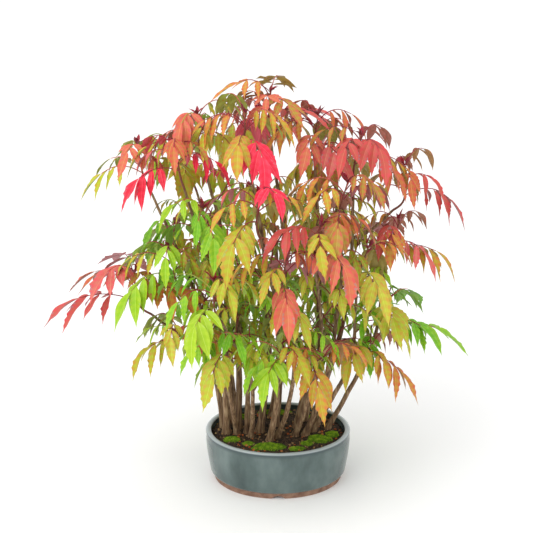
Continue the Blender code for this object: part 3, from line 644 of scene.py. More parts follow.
# Stems and boughs: two dozen slim stems from one root, fanning out of the soil, each tapering
# from a flared foot to the shoot it carries. Brown bark with fine ridges that run up the stem.
# The places of the shoots, in millimetres from the middle of the pot's underside, are those of
# the plant's solids: name, x, y, z, leaves, length, facing in degrees, and tint.
TIP_SHOOTS = (
    ("leader", -8, 8, 382, 5, 46, 12, "russet"),
    ("top_left", -74, -20, 368, 5, 48, 185, "olive"),
    ("top_middle", -30, -46, 376, 5, 50, 290, "amber"),
    ("high_left", -130, 2, 334, 5, 42, 190, "olive"),
    ("crimson_left", -92, -50, 350, 4, 44, 215, "crimson"),
    ("upper_right", 36, 2, 362, 5, 46, 300, "amber"),
    ("top_right", 74, -26, 350, 5, 52, 8, "russet"),
    ("front_right", 60, -62, 316, 4, 46, 265, "russet"),
    ("far_right", 112, -10, 262, 5, 46, 350, "russet"),
    ("middle_right", 36, -88, 284, 4, 50, 300, "russet"),
    ("middle_front", 6, -100, 258, 4, 46, 275, "russet"),
    ("middle_left", -18, -96, 316, 4, 50, 245, "amber"),
    ("green_left", -68, -52, 288, 4, 48, 150, "green"),
    ("lime_left", -98, -46, 246, 4, 52, 215, "lime"),
    ("hanging_left", -58, -94, 234, 4, 48, 250, "lime"),
    ("green_right", 80, -52, 250, 4, 48, 290, "olive"),
    ("back_left", -86, 60, 316, 4, 52, 120, "olive"),
    ("back_middle", -18, 74, 346, 5, 52, 95, "amber"),
    ("back_right", 62, 66, 318, 4, 52, 60, "russet"),
    ("rear_left", -100, 58, 236, 4, 50, 160, "lime"),
    ("rear_middle", -30, 98, 258, 4, 50, 100, "lime"),
    ("rear_right", 52, 94, 240, 4, 50, 70, "olive"),
)
BOUGH_SHOOTS = (
    ("far_left", -134, -22, 214, 4, 58, 188, "russet"),
    ("low_right", 100, -12, 182, 5, 54, 352, "green"),
    ("right_shoulder", 116, 0, 314, 4, 46, 355, "russet"),
)
SIDE_SHOOTS = (
    ("low_left", -98, -52, 172, 4, 46, 205, "olive"),
    ("low_front_left", -56, -86, 174, 4, 46, 250, "lime"),
    ("low_front", -2, -98, 170, 5, 44, 245, "lime"),
    ("low_front_right", 44, -88, 162, 4, 46, 280, "amber"),
    ("low_hanging_right", 86, -36, 144, 4, 46, 335, "amber"),
    ("low_back_right", 80, 66, 180, 4, 50, 40, "green"),
    ("low_back", -34, 84, 174, 4, 50, 110, "green"),
)
SHOOT_FIELDS = ("name", "x_mm", "y_mm", "z_mm", "leaves", "length_mm", "facing_deg", "tint")
CLEAR = 0.0003
FOOT_SPREAD_X = 0.46
FOOT_SPREAD_Y = 0.27
CLUMP_MIDDLE = Vector((-0.002, 0.011))
FOOT_JITTER = 0.0045
FOOT_SPACING = 0.0105
FOOT_REACH = Vector((0.0560, 0.0430))
EASING_ROUNDS = 60
STEM_BOW = 0.013
STEM_WANDER = 0.0011
WANDER_TURN_X = 9
WANDER_TURN_Y = 8
BOW_WAYS = 8
STEM_PIECES = 7
STEM_TIP_RADIUS = 0.0012
STEM_GIRTH_LOW = 0.0019
STEM_GIRTH_HIGH = 0.0036
TALL_STEM = 0.34
STEM_FLARE = 1.55
STEM_FLARE_HEIGHT = 0.013
BOUGH_PIECES = 4
BOUGH_SAG = 0.0045
BOUGH_RADIUS = 0.0017
BOUGH_RUN = 0.030
SIDE_RUN = 0.018
SIDE_RISE = 0.45
LOWEST_SIDE_SHOOT = 0.072
RISE_COST = 0.7
SIDE_TWIG_RADIUS = 0.0012
TIP_TWIG = 0.046
TIP_LEAN = 0.62
TWIG_BELOW = 0.8
TWIG_ABOVE = 0.2
TWIG_TURN = 0.35
BARK_SIDES = 12
BARK_RELIEF = 0.00042
RIDGE_STRETCH = (1.0, 1.0, 0.16)
RIDGE_SCALE = 900.0
RIDGE_DETAIL = 3.0
WELD_DISTANCE = 2e-6
STEM_SMOOTHING = 9
BOUGH_SMOOTHING = 8
FLARE_FALL = 2.2
KNOT_SHARE = 0.10
KNOT_SCALE = 55
CROOK = 0.0011
CROOK_SCALE = 42
CROOK_EASE = 0.03
FOOT_SUNK = 0.0014
FOOT_WIDER = 1.08
BARK_SHADES = ((78, 57, 40), (128, 100, 72), (172, 146, 112))


def read_shoots(rows):
    """The shoots of one table as dictionaries, with their places in metres."""
    shoots = []
    for row in rows:
        shoot = dict(zip(SHOOT_FIELDS, row))
        shoot["place"] = Vector((shoot["x_mm"], shoot["y_mm"], shoot["z_mm"])) * MM
        shoot["length"] = shoot["length_mm"] * MM
        shoots.append(shoot)
    return shoots


def spread_feet(shoots):
    """The stems' feet: drawn in from the shoots, jittered, then eased apart within the clump."""
    draw = random.Random("feet of the stems")
    feet = []
    for shoot in shoots:
        x = CLUMP_MIDDLE.x + shoot["place"].x * FOOT_SPREAD_X + draw.uniform(-1, 1) * FOOT_JITTER
        y = CLUMP_MIDDLE.y + shoot["place"].y * FOOT_SPREAD_Y + draw.uniform(-1, 1) * FOOT_JITTER
        feet.append(Vector((x, y)))
    for _ in range(EASING_ROUNDS):
        for one in range(len(feet)):
            for other in range(one):
                apart = feet[one] - feet[other]
                short = FOOT_SPACING - apart.length
                if short > 0:
                    feet[one] += apart.normalized() * short / 2
                    feet[other] -= apart.normalized() * short / 2
        for foot in feet:
            reach = math.hypot(foot.x / FOOT_REACH.x, foot.y / FOOT_REACH.y)
            if reach > 1:
                foot /= reach
    return feet


def stem_points(foot, tip, bow, draw):
    """A stem's axis: a straight line that bows a little and wanders."""
    phase_x = draw.uniform(0, math.tau)
    phase_y = draw.uniform(0, math.tau)
    points = []
    for step in range(STEM_PIECES + 1):
        share = step / STEM_PIECES
        swell = math.sin(math.pi * share)
        turn_x = phase_x + WANDER_TURN_X * share
        turn_y = phase_y + WANDER_TURN_Y * share
        wander = Vector((math.sin(turn_x), math.sin(turn_y), 0.0)) * STEM_WANDER
        points.append(foot.lerp(tip, share) + bow * swell + wander * math.sqrt(swell))
    return points


def thirds(points):
    """The points of an axis with two more in each piece."""
    dense = []
    for one, other in zip(points, points[1:]):
        dense += [one, one.lerp(other, 1 / 3), one.lerp(other, 2 / 3)]
    return dense + [points[-1]]


def closest(points, others):
    """The least distance between two axes, sampled between their points."""
    return min((one - other).length for one in thirds(points) for other in thirds(others))


def shoot_lean(place):
    """The way a shoot at this place grows: up, and out from the clump's middle."""
    out = Vector((place.x - CLUMP_MIDDLE.x, place.y - CLUMP_MIDDLE.y, 0.0))
    return (Vector((0.0, 0.0, place.z)) + out * TIP_LEAN).normalized()


def limb_tip(shoot):
    """Where the stem or bough under a shoot ends: some way down the shoot's lean."""
    return shoot["place"] - shoot_lean(shoot["place"]) * TIP_TWIG * TWIG_BELOW


def taper(first, last, count):
    """Radii that go evenly from the first to the last."""
    return [first + (last - first) * step / (count - 1) for step in range(count)]


def plan_stems(shoots):
    """Each stem's axis and radii, bowed the way that keeps it furthest from those before it."""
    axes = []
    for shoot, foot in zip(shoots, spread_feet(shoots)):
        ground = Vector((foot.x, foot.y, SOIL_TOP + CLEAR))
        tip = limb_tip(shoot)
        best = None
        for turn in range(BOW_WAYS):
            angle = math.tau * turn / BOW_WAYS
            bow = Vector((math.cos(angle), math.sin(angle), 0.0)) * STEM_BOW
            points = stem_points(ground, tip, bow, random.Random(shoot["name"]))
            room = min((closest(points, other) for other, _ in axes), default=1.0)
            if best is None or room > best[0] + 1e-6:
                best = (room, points)
        girth = STEM_GIRTH_LOW + (STEM_GIRTH_HIGH - STEM_GIRTH_LOW) * (tip.z / TALL_STEM) ** 2
        axes.append((best[1], taper(girth, STEM_TIP_RADIUS, len(best[1]))))
    return axes


def nearest_start(place, axes, least_run):
    """Where a bough or side shoot leaves a stem: the nearest point low enough for it to rise."""
    best = None
    for points, radii in axes:
        for step in range(1, len(points) - 1):
            for share in (0.0, 0.5):
                here = points[step].lerp(points[step + 1], share)
                run = Vector((place.x - here.x, place.y - here.y)).length
                rise = place.z - here.z
                if here.z < LOWEST_SIDE_SHOOT or rise < run * SIDE_RISE or run < least_run:
                    continue
                cost = run + rise * RISE_COST
                if best is None or cost < best[0]:
                    best = (cost, here)
    return best[1]


def smooth_path(points, values, per_piece):
    """A smooth curve through an axis's points, with its values eased along it."""
    path = []
    last = len(points) - 1
    for step in range(last):
        before, one = points[max(0, step - 1)], points[step]
        two, after = points[step + 1], points[min(last, step + 2)]
        for part in range(per_piece):
            t = part / per_piece
            spot = 0.5 * (
                2 * one + (two - before) * t
                + (2 * before - 5 * one + 4 * two - after) * t**2
                + (3 * one - before - 3 * two + after) * t**3
            )
            path.append((spot, values[step] + (values[step + 1] - values[step]) * t))
    return path + [(points[-1], values[-1])]


def limb_tree(name, relief):
    """Tapering limbs along their paths, round and capped, with ridges that run along them if relief is
    asked for.
    """
    inputs = (("Geometry", "Geometry"), ("Sides", "Int"), ("Relief", "Float"), ("Material", "Material"))
    tree, given, result = named_tree("GeometryNodeTree", name, inputs, ("Geometry", "Geometry"))
    new = tree.nodes.new
    link = tree.links.new
    path = new("GeometryNodeMeshToCurve")
    girth = new("GeometryNodeInputNamedAttribute")
    girth.data_type = "FLOAT"
    girth.inputs["Name"].default_value = "girth"
    width = new("GeometryNodeSetCurveRadius")
    ring = new("GeometryNodeCurvePrimitiveCircle")
    ring.inputs["Radius"].default_value = 1.0
    sweep = new("GeometryNodeCurveToMesh")
    sweep.inputs["Fill Caps"].default_value = True
    link(girth.outputs["Attribute"], sweep.inputs["Scale"])
    link(given.outputs["Geometry"], path.inputs["Mesh"])
    link(path.outputs["Curve"], width.inputs["Curve"])
    link(girth.outputs["Attribute"], width.inputs["Radius"])
    link(width.outputs["Curve"], sweep.inputs["Curve"])
    link(given.outputs["Sides"], ring.inputs["Resolution"])
    link(ring.outputs["Curve"], sweep.inputs["Profile Curve"])
    body = sweep.outputs["Mesh"]
    if relief:
        body = ridge_nodes(tree, given, body)
    end_tree(tree, given, result, body)
    return tree


def ridge_nodes(tree, given, body):
    """The nodes that move a limb's surface in and out in ridges that run up it."""
    new = tree.nodes.new
    link = tree.links.new
    place = new("GeometryNodeInputPosition")
    shrink = new("ShaderNodeVectorMath")
    shrink.operation = "MULTIPLY"
    shrink.inputs[1].default_value = RIDGE_STRETCH
    grain = new("ShaderNodeTexNoise")
    grain.inputs["Scale"].default_value = RIDGE_SCALE
    grain.inputs["Detail"].default_value = RIDGE_DETAIL
    link(place.outputs["Position"], shrink.inputs[0])
    link(shrink.outputs["Vector"], grain.inputs["Vector"])
    centred = new("ShaderNodeMath")
    centred.operation = "SUBTRACT"
    centred.inputs[1].default_value = 0.5
    amount = new("ShaderNodeMath")
    amount.operation = "MULTIPLY"
    link(grain.outputs["Fac"], centred.inputs[0])
    link(centred.outputs["Value"], amount.inputs[0])
    link(given.outputs["Relief"], amount.inputs[1])
    normal = new("GeometryNodeInputNormal")
    out = new("ShaderNodeVectorMath")
    out.operation = "SCALE"
    shift = new("GeometryNodeSetPosition")
    link(normal.outputs["Normal"], out.inputs[0])
    link(amount.outputs["Value"], out.inputs["Scale"])
    link(body, shift.inputs["Geometry"])
    link(out.outputs["Vector"], shift.inputs["Offset"])
    return shift.outputs["Geometry"]


def paths_mesh(name, paths):
    """Chains of edges along paths of places and radii, moved to the pot's place."""
    places, edges, girths = [], [], []
    for path in paths:
        start = len(places)
        places += [tuple(spot + POT_MIDDLE) for spot, _ in path]
        girths += [radius for _, radius in path]
        edges += [(start + step, start + step + 1) for step in range(len(path) - 1)]
    mesh = bpy.data.meshes.new(name)
    mesh.from_pydata(places, edges, [])
    mesh.attributes.new("girth", "FLOAT", "POINT").data.foreach_set("value", girths)
    return mesh


def sweep_paths(name, tree, paths, sides, relief, finish):
    """Round limbs along paths as one welded mesh whose faces point outwards."""
    made = run_tree(paths_mesh(name, paths), tree, {"Sides": sides, "Relief": relief, "Material": finish})
    work = bmesh.new()
    work.from_mesh(made)
    bmesh.ops.remove_doubles(work, verts=work.verts, dist=WELD_DISTANCE)
    bmesh.ops.recalc_face_normals(work, faces=work.faces)
    work.to_mesh(made)
    work.free()
    made.shade_smooth()
    return made


def bark_material():
    """Grey-brown bark with fine ridges up the stem and paler worn spots."""
    made, tree, shader = node_material("ridged brown bark", 0.82)
    streaks = noise_of(tree, 520.0, 5.0, (1.0, 1.0, 0.12))
    colour = ramp_of(tree, streaks, BARK_SHADES, (0.30, 0.50, 0.70))
    tree.links.new(colour, shader.inputs["Base Color"])
    add_bump(tree, shader, noise_of(tree, 1400.0, 3.0, (1.0, 1.0, 0.2)), 0.6, 0.0005)
    return made


def crooked_path(shoot, points, radii):
    """A stem's smooth path with its flared foot, its knots and its small crooks."""
    path = []
    for spot, radius in smooth_path(points, radii, STEM_SMOOTHING):
        above = spot.z - SOIL_TOP
        flare = (STEM_FLARE - 1) * math.exp(-above / STEM_FLARE_HEIGHT * FLARE_FALL)
        knot = KNOT_SHARE * noise.noise(spot * KNOT_SCALE + Vector((shoot["x_mm"], 0, 0)))
        crook = Vector((
            noise.noise(spot * CROOK_SCALE + Vector((0, shoot["x_mm"], 3))),
            noise.noise(spot * CROOK_SCALE + Vector((7, 1, shoot["y_mm"]))),
            0.0,
        ))
        crook = crook * CROOK * min(1.0, above / CROOK_EASE)
        crook = crook * min(1.0, (points[-1] - spot).length / CROOK_EASE)
        path.append((spot + crook, radius * (1 + flare + knot)))
    place, radius = path[0]
    path.insert(0, (place - Vector((0, 0, FOOT_SUNK)), radius * FOOT_WIDER))
    return path


def set_on_tip(shoot, points):
    """Starts a shoot's twig just clear of the end of the limb under it."""
    shoot["along"] = (points[-1] - points[-2]).normalized()
    shoot["start"] = points[-1] + shoot["along"] * CLEAR
    shoot["twig_radius"] = STEM_TIP_RADIUS


tips = read_shoots(TIP_SHOOTS)
bough_ends = read_shoots(BOUGH_SHOOTS)
sides = read_shoots(SIDE_SHOOTS)
axes = plan_stems(tips)
bark = bark_material()
bark_tree = limb_tree("limbs with ridged bark", True)
stem_paths = []
for shoot, (points, radii) in zip(tips, axes):
    set_on_tip(shoot, points)
    stem_paths.append(crooked_path(shoot, points, radii))
bough_paths = []
for shoot in bough_ends:
    end = limb_tip(shoot)
    start = nearest_start(end, axes, BOUGH_RUN)
    points = []
    for step in range(BOUGH_PIECES + 1):
        share = step / BOUGH_PIECES
        sag = BOUGH_SAG * math.sin(math.pi * share)
        points.append(start.lerp(end, share) - Vector((0, 0, sag)))
    radii = taper(BOUGH_RADIUS, STEM_TIP_RADIUS, len(points))
    bough_paths.append(smooth_path(points, radii, BOUGH_SMOOTHING))
    set_on_tip(shoot, points)
for shoot in sides:
    shoot["start"] = nearest_start(shoot["place"], axes, SIDE_RUN)
    shoot["along"] = (shoot["place"] - shoot["start"]).normalized()
    shoot["twig_radius"] = SIDE_TWIG_RADIUS
stems = sweep_paths("stems", bark_tree, stem_paths, BARK_SIDES, BARK_RELIEF, bark)
show(stems, "bark_stems", "bark", *["stem_" + shoot["name"] for shoot in tips])
boughs = sweep_paths("boughs", bark_tree, bough_paths, BARK_SIDES, BARK_RELIEF, bark)
show(boughs, "bark_boughs", "bark", *["bough_" + shoot["name"] for shoot in bough_ends])

# Twigs: the young wood above each stem and bough, and finer side twigs along the upper half of
# every stem, all in one reddish young bark.
INNER_TWIGS = 4
INNER_TWIG_LENGTH = 0.026
INNER_TWIG_RADIUS = 0.0008
INNER_FROM = 0.34
INNER_SPAN = 0.56
INNER_RISE = (0.9, 1.6)
INNER_LIFT = 0.006
INNER_LEAF_LENGTH = (0.027, 0.039)
LIME_BELOW = 0.23
OLIVE_BELOW = 0.29
TWIG_TIP_TAPER = 0.7
TWIG_SMOOTHING = 6
TWIG_SIDES = 7
TWIG_SHADE = (120, 66, 50)
TWIG_TIP_RADIUS = 0.0008
LEAVES_START = 0.36
GOLDEN_ANGLE = math.radians(137.5)


def twig_points(shoot):
    """The axis of a shoot's twig: it leaves its carrier squarely, then turns to the leaves."""
    top = shoot["place"] + shoot_lean(shoot["place"]) * TIP_TWIG * TWIG_ABOVE
    reach = (top - shoot["start"]).length
    return [shoot["start"], shoot["start"] + shoot["along"] * reach * TWIG_TURN, top]


def inner_shoots():
    """Short side shoots along the stems, which fill the inside of the crown."""
    found = []
    for shoot, (points, _) in zip(tips, axes):
        draw = random.Random(shoot["name"] + " inner")
        for number in range(INNER_TWIGS):
            share = INNER_FROM + INNER_SPAN * (number + draw.uniform(0.1, 0.8)) / INNER_TWIGS
            place = share * STEM_PIECES
            step = min(int(place), STEM_PIECES - 1)
            start = points[step].lerp(points[step + 1], place - step)
            facing = shoot["facing_deg"] + math.degrees(GOLDEN_ANGLE) * (number + 1)
            turn = math.radians(facing)
            out = Vector((math.cos(turn), math.sin(turn), draw.uniform(*INNER_RISE))).normalized()
            tint = shoot["tint"]
            if start.z < OLIVE_BELOW:
                tint = "lime" if start.z < LIME_BELOW else "olive"
            end = start + out * INNER_TWIG_LENGTH
            found.append({
                "name": f"{shoot['name']} inner {number}",
                "start": start,
                "along": out,
                "twig": [start, start + out * INNER_TWIG_LENGTH * 0.5, end + Vector((0, 0, INNER_LIFT))],
                "place": end,
                "twig_radius": INNER_TWIG_RADIUS,
                "leaves": 2 + draw.randrange(2),
                "length": draw.uniform(*INNER_LEAF_LENGTH),
                "facing_deg": facing,
                "tint": tint,
            })
    return found


shoots = tips + bough_ends + sides
for shoot in shoots:
    shoot["twig"] = twig_points(shoot)
inner = inner_shoots()
plain_limb_tree = limb_tree("smooth limbs", False)
twig_paths = []
for shoot in shoots + inner:
    middle_radius = (shoot["twig_radius"] + TWIG_TIP_RADIUS) / 2
    radii = [shoot["twig_radius"], middle_radius, TWIG_TIP_RADIUS * TWIG_TIP_TAPER]
    twig_paths.append(smooth_path(shoot["twig"], radii, TWIG_SMOOTHING))
young_bark = plain_material("young reddish bark", TWIG_SHADE, 0.62)
twigs = sweep_paths("twigs", plain_limb_tree, twig_paths, TWIG_SIDES, 0.0, young_bark)
show(twigs, "twigs", "bark")

# Leaves: each compound leaf has a bare red stalk that rises, arches over and hangs, with pairs
# of slim pointed leaflets and one at its end. The stalks are swept along their paths.
STALK_PIECES = 3
STALK_BEND = 1.3
LAST_LEAF = 0.96
LEAF_TURN = 0.22
LEAF_RISE_DEG = 28
LEAF_RISE_GAIN_DEG = 38
LEAF_RISE_VARY_DEG = 8
LEAF_SAG_DEG = 38
LEAF_SAG_LESS_DEG = 12
LEAF_SAG_MORE_DEG = 16
LEAF_SHRINK = 0.22
LEAF_VARY = 0.1
EXTRA_LEAVES = 3
EXTRA_LENGTH = 0.84
STALK_RADIUS = 0.00062
STALK_TIP_RADIUS = 0.00034
STALK_SHADES = {"red": (146, 36, 54), "pink": (182, 88, 72), "green": (158, 162, 60)}
STALK_SIDES = 5
STALK_SMOOTHING = 4
RED_STALKS_WARM = 0.8
RED_STALKS_COOL = 0.5
PINK_STALKS_COOL = 0.75
WARM_TINTS = ("russet", "crimson", "amber")
LEVEL_SPRAYS = {"far_left": 0.5, "leader": 0.45, "low_right": 0.65, "high_left": 0.8}


def point_on(points, share):
    """The point at a share of the way along an axis."""
    place = share * (len(points) - 1)
    step = min(int(place), len(points) - 2)
    return points[step].lerp(points[step + 1], place - step)


def leaf_axis(start, azimuth, rise, sag, length):
    """A leaf's stalk and midrib: it rises from the twig, arches over and hangs at its end."""
    points = [start]
    for step in range(STALK_PIECES):
        share = (step + 0.5) / STALK_PIECES
        pitch = rise - (rise + sag) * share**STALK_BEND
        flat = math.cos(pitch) * length / STALK_PIECES
        lift = math.sin(pitch) * length / STALK_PIECES
        ahead = Vector((math.cos(azimuth) * flat, math.sin(azimuth) * flat, lift))
        points.append(points[-1] + ahead)
    return points


def grow_leaf(shoot, number):
    """One leaf by the rule of the plant's solids, with more between those leaves."""
    own = number < shoot["leaves"]
    count = shoot["leaves"]
    place = number if own else number - count + 0.5
    draw = random.Random(f"{shoot['name']} leaf {number}")
    order = min(1.0, place / max(1, count - 1))
    azimuth = math.radians(shoot["facing_deg"]) + number * GOLDEN_ANGLE
    free = min(1, number)
    azimuth += draw.uniform(-LEAF_TURN, LEAF_TURN) * free
    rise_vary = draw.uniform(-LEAF_RISE_VARY_DEG, LEAF_RISE_VARY_DEG)
    lightness = LEVEL_SPRAYS.get(shoot["name"], 1.0)
    rise = math.radians(LEAF_RISE_DEG + LEAF_RISE_GAIN_DEG * order + rise_vary)
    sag = math.radians(LEAF_SAG_DEG + draw.uniform(-LEAF_SAG_LESS_DEG, LEAF_SAG_MORE_DEG))
    sag *= lightness
    length = shoot["length"] * (1 - LEAF_SHRINK * order)
    length *= 1 + draw.uniform(-LEAF_VARY, LEAF_VARY) * free
    if not own:
        length *= EXTRA_LENGTH
    share = min(1.0, math.sqrt((place + 0.4) / count))
    along = LEAVES_START + (LAST_LEAF - LEAVES_START) * share
    start = point_on(shoot["twig"], along)
    return {
        "shoot": shoot,
        "axis": leaf_axis(start, azimuth, rise, sag, length),
        "azimuth": azimuth,
        "length": length,
        "draw": draw,
        "lightness": lightness,
    }


def stalk_colour(leaf):
    """Red, pink or green: mostly red on the warm sprays, greener on the cool ones."""
    warm = leaf["shoot"]["tint"] in WARM_TINTS
    choice = leaf["draw"].random()
    if choice < (RED_STALKS_WARM if warm else RED_STALKS_COOL):
        return "red"
    return "pink" if warm or choice < PINK_STALKS_COOL else "green"


leaves = []
for shoot in shoots:
    leaves += [grow_leaf(shoot, number) for number in range(shoot["leaves"] + EXTRA_LEAVES)]
for shoot in inner:
    leaves += [grow_leaf(shoot, number) for number in range(shoot["leaves"])]
stalk_paths = {name: [] for name in STALK_SHADES}
for leaf in leaves:
    radii = taper(STALK_RADIUS, STALK_TIP_RADIUS, len(leaf["axis"]))
    leaf["path"] = smooth_path(leaf["axis"], radii, STALK_SMOOTHING)
    stalk_paths[stalk_colour(leaf)].append(leaf["path"])
for name, paths in stalk_paths.items():
    finish = plain_material(f"{name} stalk", STALK_SHADES[name], 0.5)
    stalks = sweep_paths("stalks", plain_limb_tree, paths, STALK_SIDES, 0.0, finish)
    show(stalks, f"{name}_leaf_stalks", "leaves_crimson" if name == "red" else "leaves_olive")

# Leaflets: thin blades with a drawn-out curling tip, folded along a pale midrib, some of them
# toothed in their outer half. Autumn colours each spray by itself: the reds sit high and on the
# outside, the greens low and inside, and a leaflet turns red from its edge inwards. Short dark
# leaflets at the tips of the shoots are their buds.
BLADE_STATIONS = 11
BLADE_WIDTH = 0.305
BLADE_THICKNESS = 0.00030
BLADE_PEAK = (0.72, 1.35)
BLADE_DROOP = (0.75, 1.6)
BLADE_CURL = 0.45
BLADE_FOLD = (0.18, 0.50)
FOLD_EASE = 0.4
BLADE_VARY = (0.88, 1.15)
BLADE_WAVE = (0.02, 0.07)
WAVE_TURNS = 9
WAVE_AT_EDGE = 3
TOOTHED_SHARE = 0.45
TEETH_FROM = 0.35
TOOTH_OUT = 0.16
TOOTH_IN = -0.10
FACING_TILT = 0.55
EDGE_SLANT = 0.55
MIDDLE_SLANT = 0.25
MIDDLE_SHARE = 0.52
BLADE_CROWN = 0.06
RIB_SHARE = 0.3
TIP_REACH = 1.5
TOP_CORNERS = (0, 1, 2, 5, 4, 3)
TOP_PARTS = (1, 0, 2, 0, 1)
UNDER_CORNERS = (3, 8, 6, 7, 0)
UNDER_PARTS = (3, 3, 3, 3)
MOTTLING = 4
LONG_LEAF = 0.040
LAST_PAIR = 0.94
PAIR_OFFSET = 0.35
PAIR_LOOK_AHEAD = 0.05
PAIR_STAGGER = 0.0010
SPREAD_DEG = 68
SPREAD_LESS_DEG = 12
SPREAD_VARY_DEG = 8
PAIR_DROOP = 0.50
PAIR_DROOP_VARY = (-0.30, 0.35)
PAIR_SIZE = 0.74
PAIR_SIZE_GAIN = 0.10
PAIR_SIZE_VARY = (0.86, 1.08)
END_DROOP = 0.25
END_SIZE = 1.06
CLEAR_OF_RIM = 0.010
BARE_STALK = 0.40
LEAFLET_SHARE = 0.75
RIB_HALF = 0.00020
SPRAY_TINTS = {
    "russet": (
        ((192, 88, 74), (206, 72, 74), (208, 112, 90), (176, 112, 116)),
        ((206, 108, 92), (216, 84, 88), (222, 138, 116), (184, 118, 122)),
        ((196, 118, 60), (206, 86, 68), (212, 144, 84), (174, 118, 100)),
        ((172, 142, 52), (196, 96, 68), (196, 160, 78), (158, 130, 82)),
    ),
    "crimson": (
        ((232, 40, 68), (242, 58, 84), (246, 92, 106), (216, 92, 108)),
        ((212, 34, 56), (234, 50, 72), (238, 84, 96), (200, 84, 98)),
        ((138, 36, 48), (168, 40, 56), (160, 54, 64), (134, 56, 66)),
    ),
    "amber": (
        ((200, 148, 56), (206, 102, 62), (214, 168, 82), (172, 134, 92)),
        ((188, 168, 48), (206, 124, 60), (206, 184, 78), (168, 150, 84)),
        ((206, 116, 76), (214, 90, 80), (220, 142, 102), (182, 122, 110)),
        ((178, 178, 46), (198, 148, 56), (196, 192, 76), (162, 162, 84)),
    ),
    "olive": (
        ((172, 178, 40), (188, 142, 48), (190, 192, 68), (162, 172, 84)),
        ((154, 172, 38), (178, 120, 52), (178, 188, 68), (152, 166, 80)),
        ((192, 196, 60), (202, 160, 62), (208, 210, 88), (176, 186, 94)),
    ),
    "lime": (
        ((160, 196, 36), (172, 202, 50), (188, 214, 82), (168, 196, 84)),
        ((142, 188, 28), (162, 196, 42), (174, 208, 76), (154, 188, 78)),
        ((180, 194, 50), (194, 164, 58), (200, 210, 86), (172, 190, 86)),
    ),
    "green": (
        ((106, 170, 26), (128, 184, 36), (146, 196, 66), (130, 180, 72)),
        ((126, 182, 32), (152, 194, 42), (164, 206, 72), (142, 184, 78)),
    ),
}
NEIGHBOURS = {
    "russet": ("russet", "russet", "russet", "amber", "amber"),
    "crimson": ("crimson", "crimson", "russet"),
    "amber": ("amber", "amber", "amber", "russet", "olive"),
    "olive": ("olive", "olive", "amber", "lime"),
    "lime": ("lime", "lime", "green", "olive"),
    "green": ("green", "green", "lime"),
}
PARTS_OF_LEAFLET = ("blade", "edge", "rib", "underside", "mottling")
MOTTLE_SHARE = 0.42
SPRAY_CRIMSONS = 2
BUD_LEAFLETS = 5
BUD_SIZE = (0.009, 0.015)
BUD_RISE = (0.3, 0.9)
BUD_LIGHTNESS = 0.6
CRIMSON_SPRAYS = {"top_middle": (0, 1), "top_left inner 3": (1,), "middle_left": (3,)}


def blade_width(share):
    """The half width of a leaflet along its length: widest below the middle, drawn to a point."""
    rise, fall = BLADE_PEAK
    peak = rise / (rise + fall)
    return (share / peak) ** rise * ((1 - share) / (1 - peak)) ** fall


def add_row(corners, spot, way, upper, width, lift, ripple):
    """A row's corners: left edge, middle and rib, the same at the right, the keel, two below."""
    across = way.cross(upper)
    row = len(corners)
    for hand in (-1, 1):
        edge = spot + across * hand * width * math.cos(lift) + way * width * EDGE_SLANT
        edge += upper * width * (math.sin(lift) + ripple * hand * WAVE_AT_EDGE)
        middle = spot + across * hand * width * MIDDLE_SHARE * math.cos(lift) + way * width * MIDDLE_SLANT
        middle += upper * width * (MIDDLE_SHARE * math.sin(lift) + BLADE_CROWN)
        rib = spot + across * hand * min(RIB_HALF, width * RIB_SHARE)
        corners.extend(tuple(corner + POT_MIDDLE) for corner in (edge, middle, rib))
    corners.append(tuple(spot - upper * BLADE_THICKNESS + POT_MIDDLE))
    for hand in (-1, 1):
        under = spot + across * hand * width * MIDDLE_SHARE * math.cos(lift) + way * width * MIDDLE_SLANT
        under += upper * (width * (MIDDLE_SHARE * math.sin(lift) + BLADE_CROWN) - BLADE_THICKNESS)
        corners.append(tuple(under + POT_MIDDLE))
    return row


def add_blade(store, base, way, size, heading, look, draw, lightness):
    """One leaflet as a thin closed blade, added to the corners and faces of its tint."""
    corners, faces, finishes = store
    steps = BLADE_STATIONS
    droop = draw.uniform(*BLADE_DROOP) * lightness
    curl = draw.uniform(-BLADE_CURL, BLADE_CURL)
    fold = draw.uniform(*BLADE_FOLD)
    toothed = draw.random() < TOOTHED_SHARE
    half = size * BLADE_WIDTH / 2 * draw.uniform(*BLADE_VARY)
    wave = draw.uniform(*BLADE_WAVE)
    phase = draw.uniform(0, math.tau)
    spot = base.copy()
    way = way.copy()
    start = len(corners)
    corners.append(tuple(spot + POT_MIDDLE))
    rows = []
    for step in range(1, steps):
        share = step / steps
        way = (way + Vector((0, 0, -droop / steps)) + heading.cross(way) * curl / steps).normalized()
        spot = spot + way * size / steps
        upper = Vector((0, 0, 1)) + heading * FACING_TILT
        upper = (upper - way * upper.dot(way)).normalized()
        width = half * blade_width(share)
        if toothed and share > TEETH_FROM:
            width *= 1.0 + (TOOTH_OUT if step % 2 else TOOTH_IN)
        lift = fold * (1 - FOLD_EASE * share)
        ripple = wave * math.sin(share * WAVE_TURNS + phase)
        rows.append(add_row(corners, spot, way, upper, width, lift, ripple))
    way = (way + Vector((0, 0, -droop / steps))).normalized()
    tip = len(corners)
    corners.append(tuple(spot + way * size / steps * TIP_REACH + POT_MIDDLE))
    for order, parts in ((TOP_CORNERS, TOP_PARTS), (UNDER_CORNERS, UNDER_PARTS)):
        for one, two, part in zip(order, order[1:], parts):
            faces.append((start, rows[0] + two, rows[0] + one))
            finishes.append(look[part])
            for step, (here, after) in enumerate(zip(rows, rows[1:])):
                faces.append((here + one, here + two, after + two, after + one))
                mottled = part < 2 and (step + part) % 2 == 0
                finishes.append(look[MOTTLING] if mottled else look[part])
            faces.append((rows[-1] + one, rows[-1] + two, tip))
            finishes.append(look[part])


